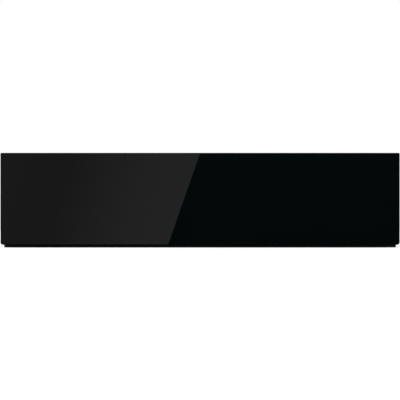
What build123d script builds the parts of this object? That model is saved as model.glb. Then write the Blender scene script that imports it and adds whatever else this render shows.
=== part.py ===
"""Built-in warming drawer: a shallow heated drawer behind a full-width black glass front.

Axes: +X across the front to the right, -Y out of the cabinet towards the user, +Z up.
The origin is the middle of the footprint, on the plane the feet stand on. Millimetres throughout.
"""
from build123d import *
import math
import os

os.makedirs("parts", exist_ok=True)

# ---- overall envelope ----------------------------------------------------------------------------
front_width = 595.0          # glass, edge to edge
front_height = 141.0         # from the shelf to the top of the glass
overall_depth = 570.0        # glass face to the back of the rear spacers
front_projection = 22.0      # glass face ahead of the cabinet's front edge

# ---- glass front ---------------------------------------------------------------------------------
strip_height = 4.0           # frame left showing under the glass
glass_thickness = 4.0
glass_top_radius = 2.0
glass_bottom_radius = 4.0
glass_bevel = 1.2
adhesive_thickness = 0.6
adhesive_width = 10.0

# ---- front carrier, the steel pan behind the glass -----------------------------------------------
carrier_sheet = 1.2
carrier_side_inset = 12.5    # carrier edge inside the glass edge, left and right
carrier_bottom_inset = 5.0
carrier_top_inset = 8.0
carrier_lip = 12.0
push_gap = 4.0               # carrier to frame, room for the push that opens the drawer
push_travel = 3.0

# ---- front frame ---------------------------------------------------------------------------------
frame_thickness = 2.0
frame_side_inset = 5.0       # frame edge inside the glass edge, left and right
frame_lap = 14.5             # frame beyond the housing's side
frame_leg = 1.2
frame_leg_depth = 10.0
frame_bottom_bar = 10.0
frame_top_bar = 17.0
frame_top_inset = 4.0        # frame below the top of the glass
frame_corner = 1.5

# ---- housing sheet metal -------------------------------------------------------------------------
housing_sheet = 1.0
housing_top_inset = 3.0      # top cover below the top of the glass
panel_flange = 10.0          # folded edge of the base and the top cover
rear_flange = 12.0           # folded edge of the rear panel
flange_relief = 1.0          # gap where two folded edges meet
rear_gap = 9.0               # rear panel to the wall behind it
seam_front_inset = 63.0      # first side rivet from the cabinet plane
seam_rear_inset = 75.0       # last side rivet from the rear panel
seam_side_inset = 77.0       # outer frame rivets from the side panel
leg_seam_bottom = 20.0       # side bar rivets from the opening's bottom and top
leg_seam_top = 8.0
rear_seam_bottom = 31.0      # rear corner rivets from the base and the cover
rear_seam_top = 32.0

# ---- feet and rear spacers -----------------------------------------------------------------------
feet_height = 3.0
foot_radius = 10.0
foot_stem_radius = 3.0
foot_barb_radius = 4.0
foot_barb_height = 1.5
foot_side_inset = 37.0
foot_front_inset = 33.0
foot_rear_inset = 45.0
spacer_side_inset = 97.0
spacer_height_above_base = 66.0
spacer_width = 36.0
spacer_height = 20.0
spacer_draft = 3.0
spacer_stem_radius = 3.0
spacer_stem_length = 4.0
spacer_barb_step = 0.75      # barb wider than its stem
spacer_stem_pitch = 20.0

# ---- top heat protection -------------------------------------------------------------------------
insulation_thickness = 10.0
insulation_side_inset = 15.0
insulation_front_inset = 25.0
insulation_rear_inset = 22.0
shield_margin = 2.0          # shield beyond the insulation, front and back
shield_rim = 12.0

# ---- telescopic rails ----------------------------------------------------------------------------
rail_rear_gap = 47.0         # rail end to the rear panel
rail_setback = 1.0           # rail end behind the frame's folded leg
rail_thickness = 12.7        # side panel to drawer wall
rail_fixing_inset = 60.0
cabinet_web = 1.2
cabinet_reach = 9.0
cabinet_half_height = 22.5
cabinet_flange = 1.6
middle_start = 1.8
middle_web = 1.2
middle_reach = 10.5
middle_flange = 2.2
drawer_rail_start = 4.2
drawer_rail_web = 1.2
drawer_rail_flange = 1.6
ball_radius = 2.0
race_clearance = 0.05
race_depth = 0.6             # how far each race is sunk into its flange
ball_row = 6.35              # ball centres from the side panel
cage_thickness = 0.8
cage_width = 6.0
cage_length = 200.0
cage_setback = 115.0         # cage behind the rail's front end
cage_balls = 10

# ---- drawer box ----------------------------------------------------------------------------------
drawer_sheet = 1.0
drawer_headroom = 8.0        # drawer top below the frame's opening
cover_clearance = 8.5        # drawer's bottom cover above the base panel
cover_to_wall = 1.5
cover_to_floor = 10.5
cover_flange_inset = 1.0
wall_rim = 8.0
wall_front_flange = 16.0
wall_flange_bottom = 6.0     # front flange from the floor and from the top
wall_flange_top = 7.0
box_rear_gap = 30.0          # drawer's back panel to the rear panel
fan_space = 56.0             # rear wall to the outside of the back panel
control_space = 35.0         # carrier to the inner front's face
inner_flange = 10.0
inner_flange_bottom = 2.0
inner_flange_top = 3.0
floor_flange_front = 39.0    # floor's folds from the carrier and from the back panel
floor_flange_rear = 4.0
floor_seam_front = 50.0
floor_seam_rear = 60.0
corner_bottom = 11.0         # corner rivets from the floor and from the top
corner_top = 12.0
mat_thickness = 2.0
mat_side_inset = 13.3
mat_front_inset = 12.0
mat_rear_inset = 7.0
mat_corner = 10.0

# ---- floor heating -------------------------------------------------------------------------------
heater_radius = 3.2
heater_gap = 0.1             # tube to the underside of the floor
heater_legs = 6
heater_side_inset = 88.3     # outer legs from the drawer's wall
heater_front_inset = 44.0    # front bends from the inner front
heater_rear_inset = 19.0     # rear bends from the rear wall
heater_end_reach = 26.0      # tube ends behind the rear wall
heater_pin_radius = 1.5
heater_pin_length = 12.0
heater_clip_width = 12.0
heater_clip_depth = 8.0
heater_clip_distance = 90.0
heater_clip_wall = 0.9
sliding_fit = 0.05
blanket_thickness = 2.0
blanket_inset = 7.3
blanket_end_inset = 8.0
thermostat_radius = 8.0
thermostat_height = 7.0
thermostat_offset = 60.0
thermostat_tab = 3.0
thermostat_tab_length = 9.0

# ---- selector ------------------------------------------------------------------------------------
selector_side_inset = 63.3
selector_top_inset = 32.0
switch_size = 30.0
switch_depth = 22.0
switch_round = 1.0
switch_tab_width = 4.0
switch_tab_length = 2.0
switch_bush_radius = 4.4
spindle_radius = 3.0
spindle_inside = 16.0        # spindle behind the inner front's face
spindle_outside = 12.0       # spindle beyond it, into the knob
spindle_flat = 2.2           # flat of the spindle from its axis
snug_fit = 0.02
knob_skirt_radius = 15.0
knob_skirt_height = 3.0
knob_radius = 12.5
knob_reach = 15.0            # knob's face from the inner front
knob_gap = 0.6
knob_round = 1.0
knob_flutes = 24
knob_flute_radius = 0.9
pointer_width = 1.4
pointer_depth = 0.5
pointer_length = 8.0
dial_thickness = 0.6
dial_left = 54.0             # dial plate's edges from the selector's axis
dial_right = 28.0
dial_half_height = 26.0
dial_corner = 6.0
lens_offset = 40.0
lens_radius = 3.0
lens_flange_radius = 4.0
lens_flange = 0.8
lens_inside = 7.0

# ---- fan -----------------------------------------------------------------------------------------
wheel_gap = 5.0              # wheel's rim to the drawer's floor
wheel_setback = 10.0         # wheel's front ring behind the rear wall's face
wheel_depth = 19.5
wheel_plate = 1.5
wheel_ring = 1.0
wheel_ring_width = 8.0
wheel_blades = 24
blade_depth = 11.0
blade_thickness = 0.8
blade_sweep = 28.0           # degrees each blade leans from the radius
hub_radius = 6.0
hub_recess = 9.0             # hub's front behind the wheel's front
hub_reach = 3.5              # hub behind the wheel's plate
inlet_overlap = 12.0         # inlet's bore inside the wheel's rim
inlet_wall = 1.0
inlet_flange_width = 10.0
inlet_flange = 1.5
inlet_depth = 7.0
shaft_radius = 2.0
shaft_nose = 2.0             # shaft ahead of the hub
shaft_into_motor = 13.0
motor_length = 21.0
motor_bore_spare = 1.0
motor_radius = 18.0
motor_stack = 40.0
motor_stack_setback = 5.0
motor_stack_depth = 10.0
motor_ear_half = 32.0
motor_ear_height = 16.0
motor_ear = 2.0

# ---- slots ---------------------------------------------------------------------------------------
grille_slot = 3.0
grille_slot_length = 18.0
intake_length = 36.0
intake_columns = 7
intake_pitch = 7.0
outlet_columns = 14
outlet_pitch = 9.0
outlet_side_inset = 93.3
outlet_rows = 2
outlet_row_pitch = 26.0
vent_slot = 4.0
vent_length = 40.0
vent_columns = 7
vent_side_inset = 97.0
vent_rows = 2
vent_row_pitch = 14.0
rear_vent_top_inset = 22.0
base_vent_front_inset = 143.0
side_vent_length = 24.0
side_vent_columns = 6
side_vent_pitch = 9.0
side_vent_rear_inset = 80.0
side_vent_top_inset = 29.0

# ---- push-to-open latch --------------------------------------------------------------------------
latch_top_inset = 16.0       # latch below the drawer's ledge
latch_depth = 24.0
latch_back_wall = 7.0
latch_half_width = 16.0
latch_height = 20.0
latch_cavity_half = 9.0
latch_cavity_height = 14.0
latch_ear_half = 27.0
latch_ear = 2.0
latch_rivet_x = 21.5
striker_plate = 1.5
striker_half_width = 13.0
striker_height = 16.0
striker_neck = 3.0
striker_neck_length = 7.0
striker_head = 8.0
striker_head_depth = 3.0
striker_point = 2.4
striker_tongue_height = 10.0
striker_rivet_x = 8.5
jaw_thickness = 0.8
jaw_gap = 0.4                # jaw to striker neck
jaw_hook = 1.6
jaw_height = 12.0

# ---- leaf springs that push the drawer out -------------------------------------------------------
leaf_to_spacer = 80.0        # spring's middle to the rear spacer's
leaf_half_span = 32.0
leaf_thickness = 0.6
leaf_width = 12.0
leaf_foot = 12.0
leaf_rest_gap = 0.3

# ---- electrical connections ----------------------------------------------------------------------
terminal_side_inset = 77.0
terminal_half_width = 32.0
terminal_depth = 22.0
terminal_rear_gap = 3.0
terminal_height = 24.0
terminal_foot = 2.0
terminal_foot_reach = 9.0
terminal_ways = 3
terminal_well_radius = 3.2
terminal_well_depth = 9.0
terminal_way_pitch = 18.0
gland_offset = 80.0          # cord entry from the terminal block's middle
gland_above_base = 26.0
gland_bore = 4.0
gland_thread = 7.0
gland_across_flats = 18.0
gland_collar = 5.0
gland_inside = 8.0
gland_nut = 4.0
gland_crown = 1.0            # step of the domed end

# ---- rivets, screws, mounting holes --------------------------------------------------------------
rivet_radius = 2.0
rivet_head_radius = 3.5
rivet_head = 0.8
rivet_fit = 0.05
niche_hole_radius = 2.25
niche_hole_inset = 23.0
niche_hole_bottom = 26.0     # screw holes from the base and from the cover
niche_hole_top = 36.0
front_screw_radius = 2.0
front_screw_head_radius = 3.8
front_screw_head = 2.4
front_screw_length = 7.0
front_screw_inset = 9.3
front_screw_spread = 25.0
screw_recess_radius = 1.4
screw_recess_depth = 1.2

# ---- planes that follow: front to back -----------------------------------------------------------
y_front = -overall_depth / 2
y_glass_back = y_front + glass_thickness
y_carrier_front = y_glass_back + adhesive_thickness
y_cabinet = y_front + front_projection
y_frame_front = y_cabinet - frame_thickness
y_carrier_back = y_frame_front - push_gap
y_flange = y_carrier_back + drawer_sheet
y_leg_back = y_cabinet + frame_leg_depth
y_rear_outer = overall_depth / 2 - rear_gap
y_rear_inner = y_rear_outer - housing_sheet
y_flange_end = y_rear_outer - rear_flange - housing_sheet - flange_relief
y_rail = y_leg_back + rail_setback
rail_length = y_rear_inner - rail_rear_gap - y_rail
box_back = y_rear_inner - box_rear_gap
y_box_back = box_back - drawer_sheet
rear_wall_y = box_back - fan_space
inner_front_y = y_carrier_back + control_space
floor_flange_y0 = y_carrier_back + floor_flange_front
floor_flange_y1 = y_box_back - floor_flange_rear

# ---- planes that follow: middle to side ----------------------------------------------------------
frame_half = front_width / 2 - frame_side_inset
carrier_half = front_width / 2 - carrier_side_inset
side_outer = frame_half - frame_lap
side_inner = side_outer - housing_sheet
wall_outer = side_inner - rail_thickness
wall_inner = wall_outer - drawer_sheet
insulation_half_width = side_inner - insulation_side_inset
spacer_x = side_inner - spacer_side_inset
leaf_x = spacer_x - leaf_to_spacer
vent_pitch = 2 * (side_inner - vent_side_inset) / (vent_columns - 1)
selector_x = wall_inner - selector_side_inset
lens_x = selector_x - lens_offset
front_screw_x = wall_outer - front_screw_inset
terminal_x = terminal_side_inset - side_inner
gland_x = terminal_x + gland_offset

# ---- planes that follow: bottom to top -----------------------------------------------------------
z_base = feet_height
z_base_top = z_base + housing_sheet
housing_top = front_height - housing_top_inset
z_cover = housing_top - housing_sheet
frame_top = front_height - frame_top_inset
frame_opening_top = frame_top - frame_top_bar
drawer_top = frame_opening_top - drawer_headroom
z_ledge = drawer_top - drawer_sheet
cover_bottom = z_base_top + cover_clearance
z_blanket = cover_bottom + drawer_sheet
wall_bottom = cover_bottom + cover_to_wall
z_floor = cover_bottom + cover_to_floor
drawer_floor_top = z_floor + drawer_sheet
z_heater = z_floor - heater_gap - heater_radius
rail_z = (z_floor + z_ledge) / 2
selector_z = drawer_top - selector_top_inset
latch_z = z_ledge - latch_top_inset
z_insulation = z_cover - insulation_thickness
z_shield = z_insulation - housing_sheet
race_gap = 2 * (ball_radius + race_clearance - race_depth)

# ---- fan, knob and latch positions that follow ---------------------------------------------------
wheel_radius = rail_z - drawer_floor_top - wheel_gap
wheel_front = rear_wall_y + wheel_setback
wheel_back = wheel_front + wheel_depth
blade_inner = wheel_radius - blade_depth
hub_front = wheel_front + hub_recess
hub_back = wheel_back + hub_reach
inlet_radius = wheel_radius - inlet_overlap
shaft_front = hub_front - shaft_nose
motor_front = y_box_back - motor_length
motor_stack_front = motor_front + motor_stack_setback
shaft_back = motor_front + shaft_into_motor
motor_bore_end = shaft_back + motor_bore_spare
spindle_back = inner_front_y - spindle_inside
spindle_front = inner_front_y + spindle_outside
knob_face_y = inner_front_y + knob_reach
lens_back = inner_front_y - lens_inside
latch_front = y_rear_inner - latch_depth
latch_cavity_end = y_rear_inner - latch_back_wall
terminal_back = y_rear_inner - terminal_rear_gap
terminal_front = terminal_back - terminal_depth


# ---- building helpers ----------------------------------------------------------------------------
def block(x0, x1, y0, y1, z0, z1):
    """Rectangular bar between two corners."""
    centre = ((x0 + x1) / 2, (y0 + y1) / 2, (z0 + z1) / 2)
    return Pos(*centre) * Box(x1 - x0, y1 - y0, z1 - z0)


def pin(start, direction, length, radius):
    """Round bar from a point along a direction."""
    return extrude(Plane(origin=start, z_dir=direction) * Circle(radius), amount=length)


def plate_xz(sketch, x, z, y0, y1):
    """A flat shape drawn as seen from the front, between two depths."""
    seen_from_front = Plane(origin=(x, y1, z), x_dir=(1, 0, 0), z_dir=(0, -1, 0))
    return extrude(seen_from_front * sketch, amount=y1 - y0)


def plate_xy(sketch, x, y, z0, z1):
    """A flat shape drawn as seen from above, between two heights."""
    return extrude(Plane(origin=(x, y, z0)) * sketch, amount=z1 - z0)


def slot_field(length, width, upright, columns, rows, pitch, row_pitch):
    """Round-ended slots on a grid."""
    angle = 90 if upright else 0
    spots = GridLocations(pitch, row_pitch, columns, rows)
    return Sketch() + [spot * SlotOverall(length, width, rotation=angle) for spot in spots]


def mirrored(shape):
    """The same piece on the other side of the appliance."""
    return mirror(shape, about=Plane.YZ)


def both_sides(shape):
    """A piece with its mirror image."""
    return [shape, mirrored(shape)]


def turned(points, axis_start, direction, x_dir=(0, 0, 1)):
    """Solid of revolution: points are (radius, distance along the axis)."""
    plane = Plane(origin=axis_start, x_dir=x_dir, z_dir=Vector(*x_dir).cross(Vector(*direction)))
    return revolve(plane * make_face(Polyline(*points, close=True)), axis=Axis(axis_start, direction))


def write(name, *solids):
    """Write one sub-part; fasteners and ball cages are several solids."""
    if len(solids) == 1:
        shape = solids[0]
    else:
        shape = Compound(children=[solid for solid in solids])
    shape.label = name
    export_step(shape, f"parts/{name}.step")


# Each rivet site is (face of the stack, direction into the stack, grip, flush at the far end).

def site_pair(y, z, outer, grip, flush=False):
    """The same rivet in the left and the right side."""
    return [((outer, y, z), (-1, 0, 0), grip, flush), ((-outer, y, z), (1, 0, 0), grip, flush)]


def rivet(site):
    """Rivet with low heads; a flush rivet has none on its far end."""
    start, direction, grip, flush = site
    start = Vector(*start)
    away = Vector(*direction)
    body = pin(start, away, grip, rivet_radius)
    body += pin(start - away * rivet_head, away, rivet_head, rivet_head_radius)
    if not flush:
        body += pin(start + away * grip, away, rivet_head, rivet_head_radius)
    return body


def rivet_holes(sites):
    """Clearance holes for a list of rivet sites."""
    holes = []
    for start, direction, grip, _ in sites:
        start = Vector(*start)
        away = Vector(*direction)
        holes.append(pin(start - away * rivet_head, away, grip + 2 * rivet_head, rivet_radius + rivet_fit))
    return holes


def first_middle_last(first, last):
    """Three evenly spaced positions."""
    return (first, (first + last) / 2, last)


seam_ys = first_middle_last(y_cabinet + seam_front_inset, y_rear_inner - seam_rear_inset)
seam_xs = first_middle_last(seam_side_inset - side_inner, side_inner - seam_side_inset)
floor_seam_ys = first_middle_last(floor_flange_y0 + floor_seam_front, floor_flange_y1 - floor_seam_rear)
rail_fixings = first_middle_last(rail_fixing_inset, rail_length - rail_fixing_inset)
corner_zs = (drawer_floor_top + corner_bottom, drawer_top - corner_top)
rear_seam_zs = (z_base_top + rear_seam_bottom, z_cover - rear_seam_top)
leg_seam_zs = (frame_bottom_bar + leg_seam_bottom, frame_opening_top - leg_seam_top)

z_base_seam = z_base_top + panel_flange / 2
z_cover_seam = z_cover - panel_flange / 2
y_leg_seam = y_cabinet + frame_leg_depth / 2
x_shield_seam = insulation_half_width + housing_sheet + shield_rim / 2
y_rear_seam = y_rear_inner - rear_flange / 2

base_sites = []
cover_sites = []
for y in seam_ys:
    base_sites += site_pair(y, z_base_seam, side_outer, 2 * housing_sheet)
    cover_sites += site_pair(y, z_cover_seam, side_outer, 2 * housing_sheet)

rear_sites = []
for z in rear_seam_zs:
    rear_sites += site_pair(y_rear_seam, z, side_outer, 2 * housing_sheet)

leg_sites = []
for z in leg_seam_zs:
    leg_sites += site_pair(y_leg_seam, z, side_outer, housing_sheet + frame_leg)

cabinet_rail_sites = []
drawer_rail_sites = []
for along in rail_fixings:
    cabinet_rail_sites += site_pair(
        y_rail + along, rail_z, side_outer, housing_sheet + cabinet_web, flush=True
    )
    drawer_rail_sites += site_pair(
        y_rail + along, rail_z, wall_outer + drawer_rail_web, drawer_rail_web + drawer_sheet, flush=True
    )

down, up = (0, 0, -1), (0, 0, 1)
frame_bottom_sites = [((x, y_leg_seam, z_base), up, housing_sheet + frame_leg, False) for x in seam_xs]
frame_top_sites = []
for x in seam_xs:
    frame_top_sites.append(((x, y_leg_seam, z_cover - frame_leg), up, housing_sheet + frame_leg, True))
shield_sites = []
for y in seam_ys:
    for side in (-1, 1):
        shield_start = (side * x_shield_seam, y, z_cover - housing_sheet)
        shield_sites.append((shield_start, up, 2 * housing_sheet, True))

inward = (0, -1, 0)          # from the back of the appliance towards its front
latch_sites = []
striker_sites = []
motor_sites = []
leaf_sites = []
for side in (-1, 1):
    latch_start = (side * latch_rivet_x, y_rear_outer, latch_z)
    latch_sites.append((latch_start, inward, housing_sheet + latch_ear, False))
    striker_start = (side * striker_rivet_x, box_back + striker_plate, latch_z)
    striker_sites.append((striker_start, inward, striker_plate + drawer_sheet, False))
    motor_x = side * (motor_ear_half - motor_ear - rivet_head_radius / 2)
    motor_sites.append(((motor_x, box_back, rail_z), inward, drawer_sheet + motor_ear, False))
    for foot in (-1, 1):
        leaf_start = (side * leaf_x + foot * (leaf_half_span + leaf_foot / 2), y_rear_outer, rail_z)
        leaf_sites.append((leaf_start, inward, housing_sheet + leaf_thickness, False))

terminal_sites = []
for side in (-1, 1):
    terminal_rivet_x = terminal_x + side * (terminal_half_width + terminal_foot_reach / 2)
    terminal_y = (terminal_front + terminal_back) / 2
    terminal_sites.append(((terminal_rivet_x, terminal_y, z_base), up, housing_sheet + terminal_foot, False))

side_sites = base_sites + cover_sites + rear_sites + leg_sites + cabinet_rail_sites
rear_panel_sites = rear_sites + latch_sites + leaf_sites
housing_sites = side_sites + frame_bottom_sites + frame_top_sites + shield_sites
housing_sites += latch_sites + leaf_sites + terminal_sites

floor_sites = []
for y in floor_seam_ys:
    floor_sites += site_pair(y, (wall_bottom + z_floor) / 2, wall_outer, 3 * drawer_sheet)

inner_front_sites = []
rear_wall_sites = []
back_sites = []
for z in corner_zs:
    inner_front_sites += site_pair(
        inner_front_y - drawer_sheet - inner_flange / 2, z, wall_outer, 2 * drawer_sheet
    )
    rear_wall_sites += site_pair(
        rear_wall_y + drawer_sheet + inner_flange / 2, z, wall_outer, 2 * drawer_sheet
    )
    back_sites += site_pair(y_box_back - inner_flange / 2, z, wall_outer, 2 * drawer_sheet)

wall_sites = floor_sites + inner_front_sites + rear_wall_sites + back_sites + drawer_rail_sites
drawer_sites = wall_sites + striker_sites + motor_sites

# ---- housing panels ------------------------------------------------------------------------------
base = block(-side_inner, side_inner, y_cabinet, y_rear_inner, z_base, z_base_top)
for side in both_sides(
    block(
        side_inner - housing_sheet, side_inner, y_cabinet + flange_relief, y_flange_end,
        z_base_top, z_base_top + panel_flange,
    )
):
    base += side
foot_spots = []
for x in (foot_side_inset - side_inner, side_inner - foot_side_inset):
    for y in (y_cabinet + foot_front_inset, y_rear_inner - foot_rear_inset):
        foot_spots.append((x, y))
for x, y in foot_spots:
    base -= pin((x, y, z_base), up, housing_sheet, foot_stem_radius + sliding_fit)
base_vents = slot_field(vent_length, vent_slot, False, vent_columns, vent_rows, vent_pitch, vent_row_pitch)
base -= plate_xy(base_vents, 0, y_cabinet + base_vent_front_inset, z_base, z_base_top)
base -= rivet_holes(base_sites + frame_bottom_sites + terminal_sites)
write("base_panel", base)

side_panel = block(side_inner, side_outer, y_cabinet, y_rear_inner, z_base, housing_top)
for z in (z_base_top + niche_hole_bottom, z_cover - niche_hole_top):
    hole_start = (side_inner, y_cabinet + niche_hole_inset, z)
    side_panel -= pin(hole_start, (1, 0, 0), housing_sheet, niche_hole_radius)
side_vents = slot_field(
    side_vent_length, vent_slot, True, side_vent_columns, 1, side_vent_pitch, side_vent_length
)
side_vent_spot = (side_inner, y_rear_inner - side_vent_rear_inset, z_cover - side_vent_top_inset)
side_plane = Plane(origin=side_vent_spot, x_dir=(0, 1, 0), z_dir=(1, 0, 0))
side_panel -= extrude(side_plane * side_vents, amount=housing_sheet)
right_panel = side_panel - rivet_holes([site for site in side_sites if site[0][0] > 0])
write("right_side_panel", right_panel)
write("left_side_panel", mirrored(right_panel))

cover = block(-side_inner, side_inner, y_cabinet, y_rear_inner, z_cover, housing_top)
for side in both_sides(
    block(
        side_inner - housing_sheet, side_inner, y_cabinet + flange_relief, y_flange_end,
        z_cover - panel_flange, z_cover,
    )
):
    cover += side
cover -= rivet_holes(cover_sites + frame_top_sites + shield_sites)
write("top_cover", cover)

rear_panel = block(-side_outer, side_outer, y_rear_inner, y_rear_outer, z_base, housing_top)
for side in both_sides(
    block(
        side_inner - housing_sheet, side_inner, y_rear_inner - rear_flange, y_rear_inner,
        z_base_top + flange_relief, z_cover - flange_relief,
    )
):
    rear_panel += side
rear_vents = slot_field(vent_length, vent_slot, False, vent_columns, vent_rows, vent_pitch, vent_row_pitch)
rear_panel -= plate_xz(rear_vents, 0, z_cover - rear_vent_top_inset, y_rear_inner, y_rear_outer)
gland_z = z_base_top + gland_above_base
rear_panel -= pin((gland_x, y_rear_inner, gland_z), (0, 1, 0), housing_sheet, gland_thread + sliding_fit)
spacer_stems = []
spacer_z = z_base_top + spacer_height_above_base
for x in (-spacer_x, spacer_x):
    for offset in (-spacer_stem_pitch / 2, spacer_stem_pitch / 2):
        spacer_stems.append((x + offset, y_rear_outer, spacer_z))
for start in spacer_stems:
    rear_panel -= pin(start, inward, housing_sheet, spacer_stem_radius + sliding_fit)
rear_panel -= rivet_holes(rear_panel_sites)
write("rear_panel", rear_panel)

# ---- front frame ---------------------------------------------------------------------------------
leg_inner = side_inner - frame_leg


def frame_bar(x0, x1, z0, z1, sharp):
    """Flat bar of the frame with its free corners eased."""
    bar = block(x0, x1, y_frame_front, y_cabinet, z0, z1)
    corners = [edge for edge in bar.edges().filter_by(Axis.Y) if not sharp(edge.center())]
    return fillet(corners, frame_corner) if corners else bar


bottom_bar = frame_bar(-frame_half, frame_half, 0, frame_bottom_bar, lambda c: c.Z > 0)
bottom_bar += block(
    -side_inner + panel_flange, side_inner - panel_flange, y_cabinet, y_leg_back,
    z_base_top, z_base_top + frame_leg,
)
bottom_bar -= rivet_holes(frame_bottom_sites)
write("front_frame_bottom", bottom_bar)

top_bar = frame_bar(-frame_half, frame_half, frame_opening_top, frame_top, lambda c: c.Z < frame_top)
top_bar += block(
    -side_inner + panel_flange, side_inner - panel_flange, y_cabinet, y_leg_back,
    z_cover - frame_leg, z_cover,
)
top_bar -= rivet_holes(frame_top_sites)
write("front_frame_top", top_bar)

side_bar = block(leg_inner, frame_half, y_frame_front, y_cabinet, frame_bottom_bar, frame_opening_top)
side_bar += block(
    leg_inner, side_inner, y_cabinet, y_leg_back,
    z_base_top + panel_flange + flange_relief, frame_opening_top,
)
side_bar -= rivet_holes([site for site in leg_sites if site[0][0] > 0])
write("front_frame_right", side_bar)
write("front_frame_left", mirrored(side_bar))

# ---- top insulation and its shield ---------------------------------------------------------------
insulation_y0 = y_cabinet + insulation_front_inset
insulation_y1 = y_rear_inner - insulation_rear_inset
insulation = block(
    -insulation_half_width, insulation_half_width, insulation_y0, insulation_y1, z_insulation, z_cover
)
write("top_insulation", insulation)

shield_web = insulation_half_width + housing_sheet
shield_y0 = insulation_y0 - shield_margin
shield_y1 = insulation_y1 + shield_margin
shield = block(-shield_web, shield_web, shield_y0, shield_y1, z_shield, z_insulation)
for side in both_sides(
    block(insulation_half_width, shield_web, shield_y0, shield_y1, z_insulation, z_cover)
    + block(shield_web, shield_web + shield_rim, shield_y0, shield_y1, z_cover - housing_sheet, z_cover)
):
    shield += side
shield -= rivet_holes(shield_sites)
write("heat_shield", shield)

# ---- feet and rear spacers -----------------------------------------------------------------------
feet = []
for x, y in foot_spots:
    foot = pin((x, y, 0), up, feet_height, foot_radius)
    foot += pin((x, y, feet_height), up, housing_sheet, foot_stem_radius)
    foot += pin((x, y, z_base_top), up, foot_barb_height, foot_barb_radius)
    feet.append(foot)
write("housing_feet", *feet)

spacers = []
for x in (-spacer_x, spacer_x):
    face = Plane(origin=(x, y_rear_outer, spacer_z), x_dir=(-1, 0, 0), z_dir=(0, 1, 0))
    wide = face * Rectangle(spacer_width, spacer_height)
    narrow = Rectangle(spacer_width - 2 * spacer_draft, spacer_height - 2 * spacer_draft)
    narrow = face.offset(rear_gap) * narrow
    spacer = loft(Sketch() + [wide, narrow])
    for start in spacer_stems:
        if abs(start[0] - x) < spacer_width:
            spacer += pin(start, inward, housing_sheet, spacer_stem_radius)
            barb_start = Vector(*start) + Vector(*inward) * housing_sheet
            spacer += turned(
                [
                    (0, 0), (spacer_stem_radius + spacer_barb_step, 0),
                    (spacer_stem_radius - spacer_barb_step, spacer_stem_length), (0, spacer_stem_length),
                ],
                tuple(barb_start), inward,
            )
    spacers.append(spacer)
write("rear_spacers", *spacers)

# ---- telescopic rails ----------------------------------------------------------------------------
outer_ball = cabinet_half_height - cabinet_flange + race_depth - race_clearance - ball_radius
middle_half = cabinet_half_height - cabinet_flange - race_gap
inner_ball = middle_half - middle_flange + race_depth - race_clearance - ball_radius
drawer_rail_half = middle_half - middle_flange - race_gap


def rail_member(start, reach, half, web, flange, web_far, rows):
    """Channel seen from its end, right-hand rail: start and reach are distances from the side panel."""
    channel = Pos(side_inner - (start + reach) / 2, rail_z) * Rectangle(reach - start, 2 * half)
    hollow_near = start if web_far else start + web
    hollow_far = reach - web if web_far else reach
    hollow = Pos(side_inner - (hollow_near + hollow_far) / 2, rail_z)
    channel -= hollow * Rectangle(hollow_far - hollow_near, 2 * (half - flange))
    for row in rows:
        for way in (-1, 1):
            race = Pos(side_inner - ball_row, rail_z + way * row)
            channel -= race * Circle(ball_radius + race_clearance)
    return plate_xz(channel, 0, 0, y_rail, y_rail + rail_length)


def ball_cage(row):
    """Upper and lower retainer strips of one rail with their balls."""
    pieces = []
    pitch = cage_length / cage_balls
    start = y_rail + cage_setback
    x = side_inner - ball_row
    for way in (-1, 1):
        z = rail_z + way * row
        strip = block(
            x - cage_width / 2, x + cage_width / 2, start, start + cage_length,
            z - cage_thickness / 2, z + cage_thickness / 2,
        )
        for index in range(cage_balls):
            y = start + (index + 0.5) * pitch
            strip -= pin((x, y, z - cage_thickness), up, 2 * cage_thickness, ball_radius + race_clearance)
            pieces.append(Pos(x, y, z) * Sphere(ball_radius))
        pieces.append(strip)
    return pieces


cabinet_rail = rail_member(
    0, cabinet_reach, cabinet_half_height, cabinet_web, cabinet_flange, False, (outer_ball,)
)
cabinet_rail -= rivet_holes([site for site in cabinet_rail_sites if site[0][0] > 0])
write("right_cabinet_rail", cabinet_rail)
write("left_cabinet_rail", mirrored(cabinet_rail))

middle_rail = rail_member(
    middle_start, middle_reach, middle_half, middle_web, middle_flange, False, (outer_ball, inner_ball)
)
write("right_middle_rail", middle_rail)
write("left_middle_rail", mirrored(middle_rail))

drawer_rail = rail_member(
    drawer_rail_start, rail_thickness, drawer_rail_half, drawer_rail_web, drawer_rail_flange, True,
    (inner_ball,),
)
drawer_rail -= rivet_holes([site for site in drawer_rail_sites if site[0][0] > 0])
write("right_drawer_rail", drawer_rail)
write("left_drawer_rail", mirrored(drawer_rail))

for label, row in (("outer", outer_ball), ("inner", inner_ball)):
    cage = ball_cage(row)
    write(f"right_{label}_ball_cage", *cage)
    write(f"left_{label}_ball_cage", *[mirrored(piece) for piece in cage])

# ---- glass front, adhesive and carrier -----------------------------------------------------------
glass = block(-front_width / 2, front_width / 2, y_front, y_glass_back, strip_height, front_height)
upright = glass.edges().filter_by(Axis.Y)
glass = fillet([edge for edge in upright if edge.center().Z > front_height / 2], glass_top_radius)
lower = [edge for edge in glass.edges().filter_by(Axis.Y) if edge.center().Z < strip_height + glass_bevel]
glass = fillet(lower, glass_bottom_radius)
glass = chamfer(glass.faces().sort_by(Axis.Y)[0].edges(), glass_bevel)
write("glass_front_panel", glass)

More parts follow.
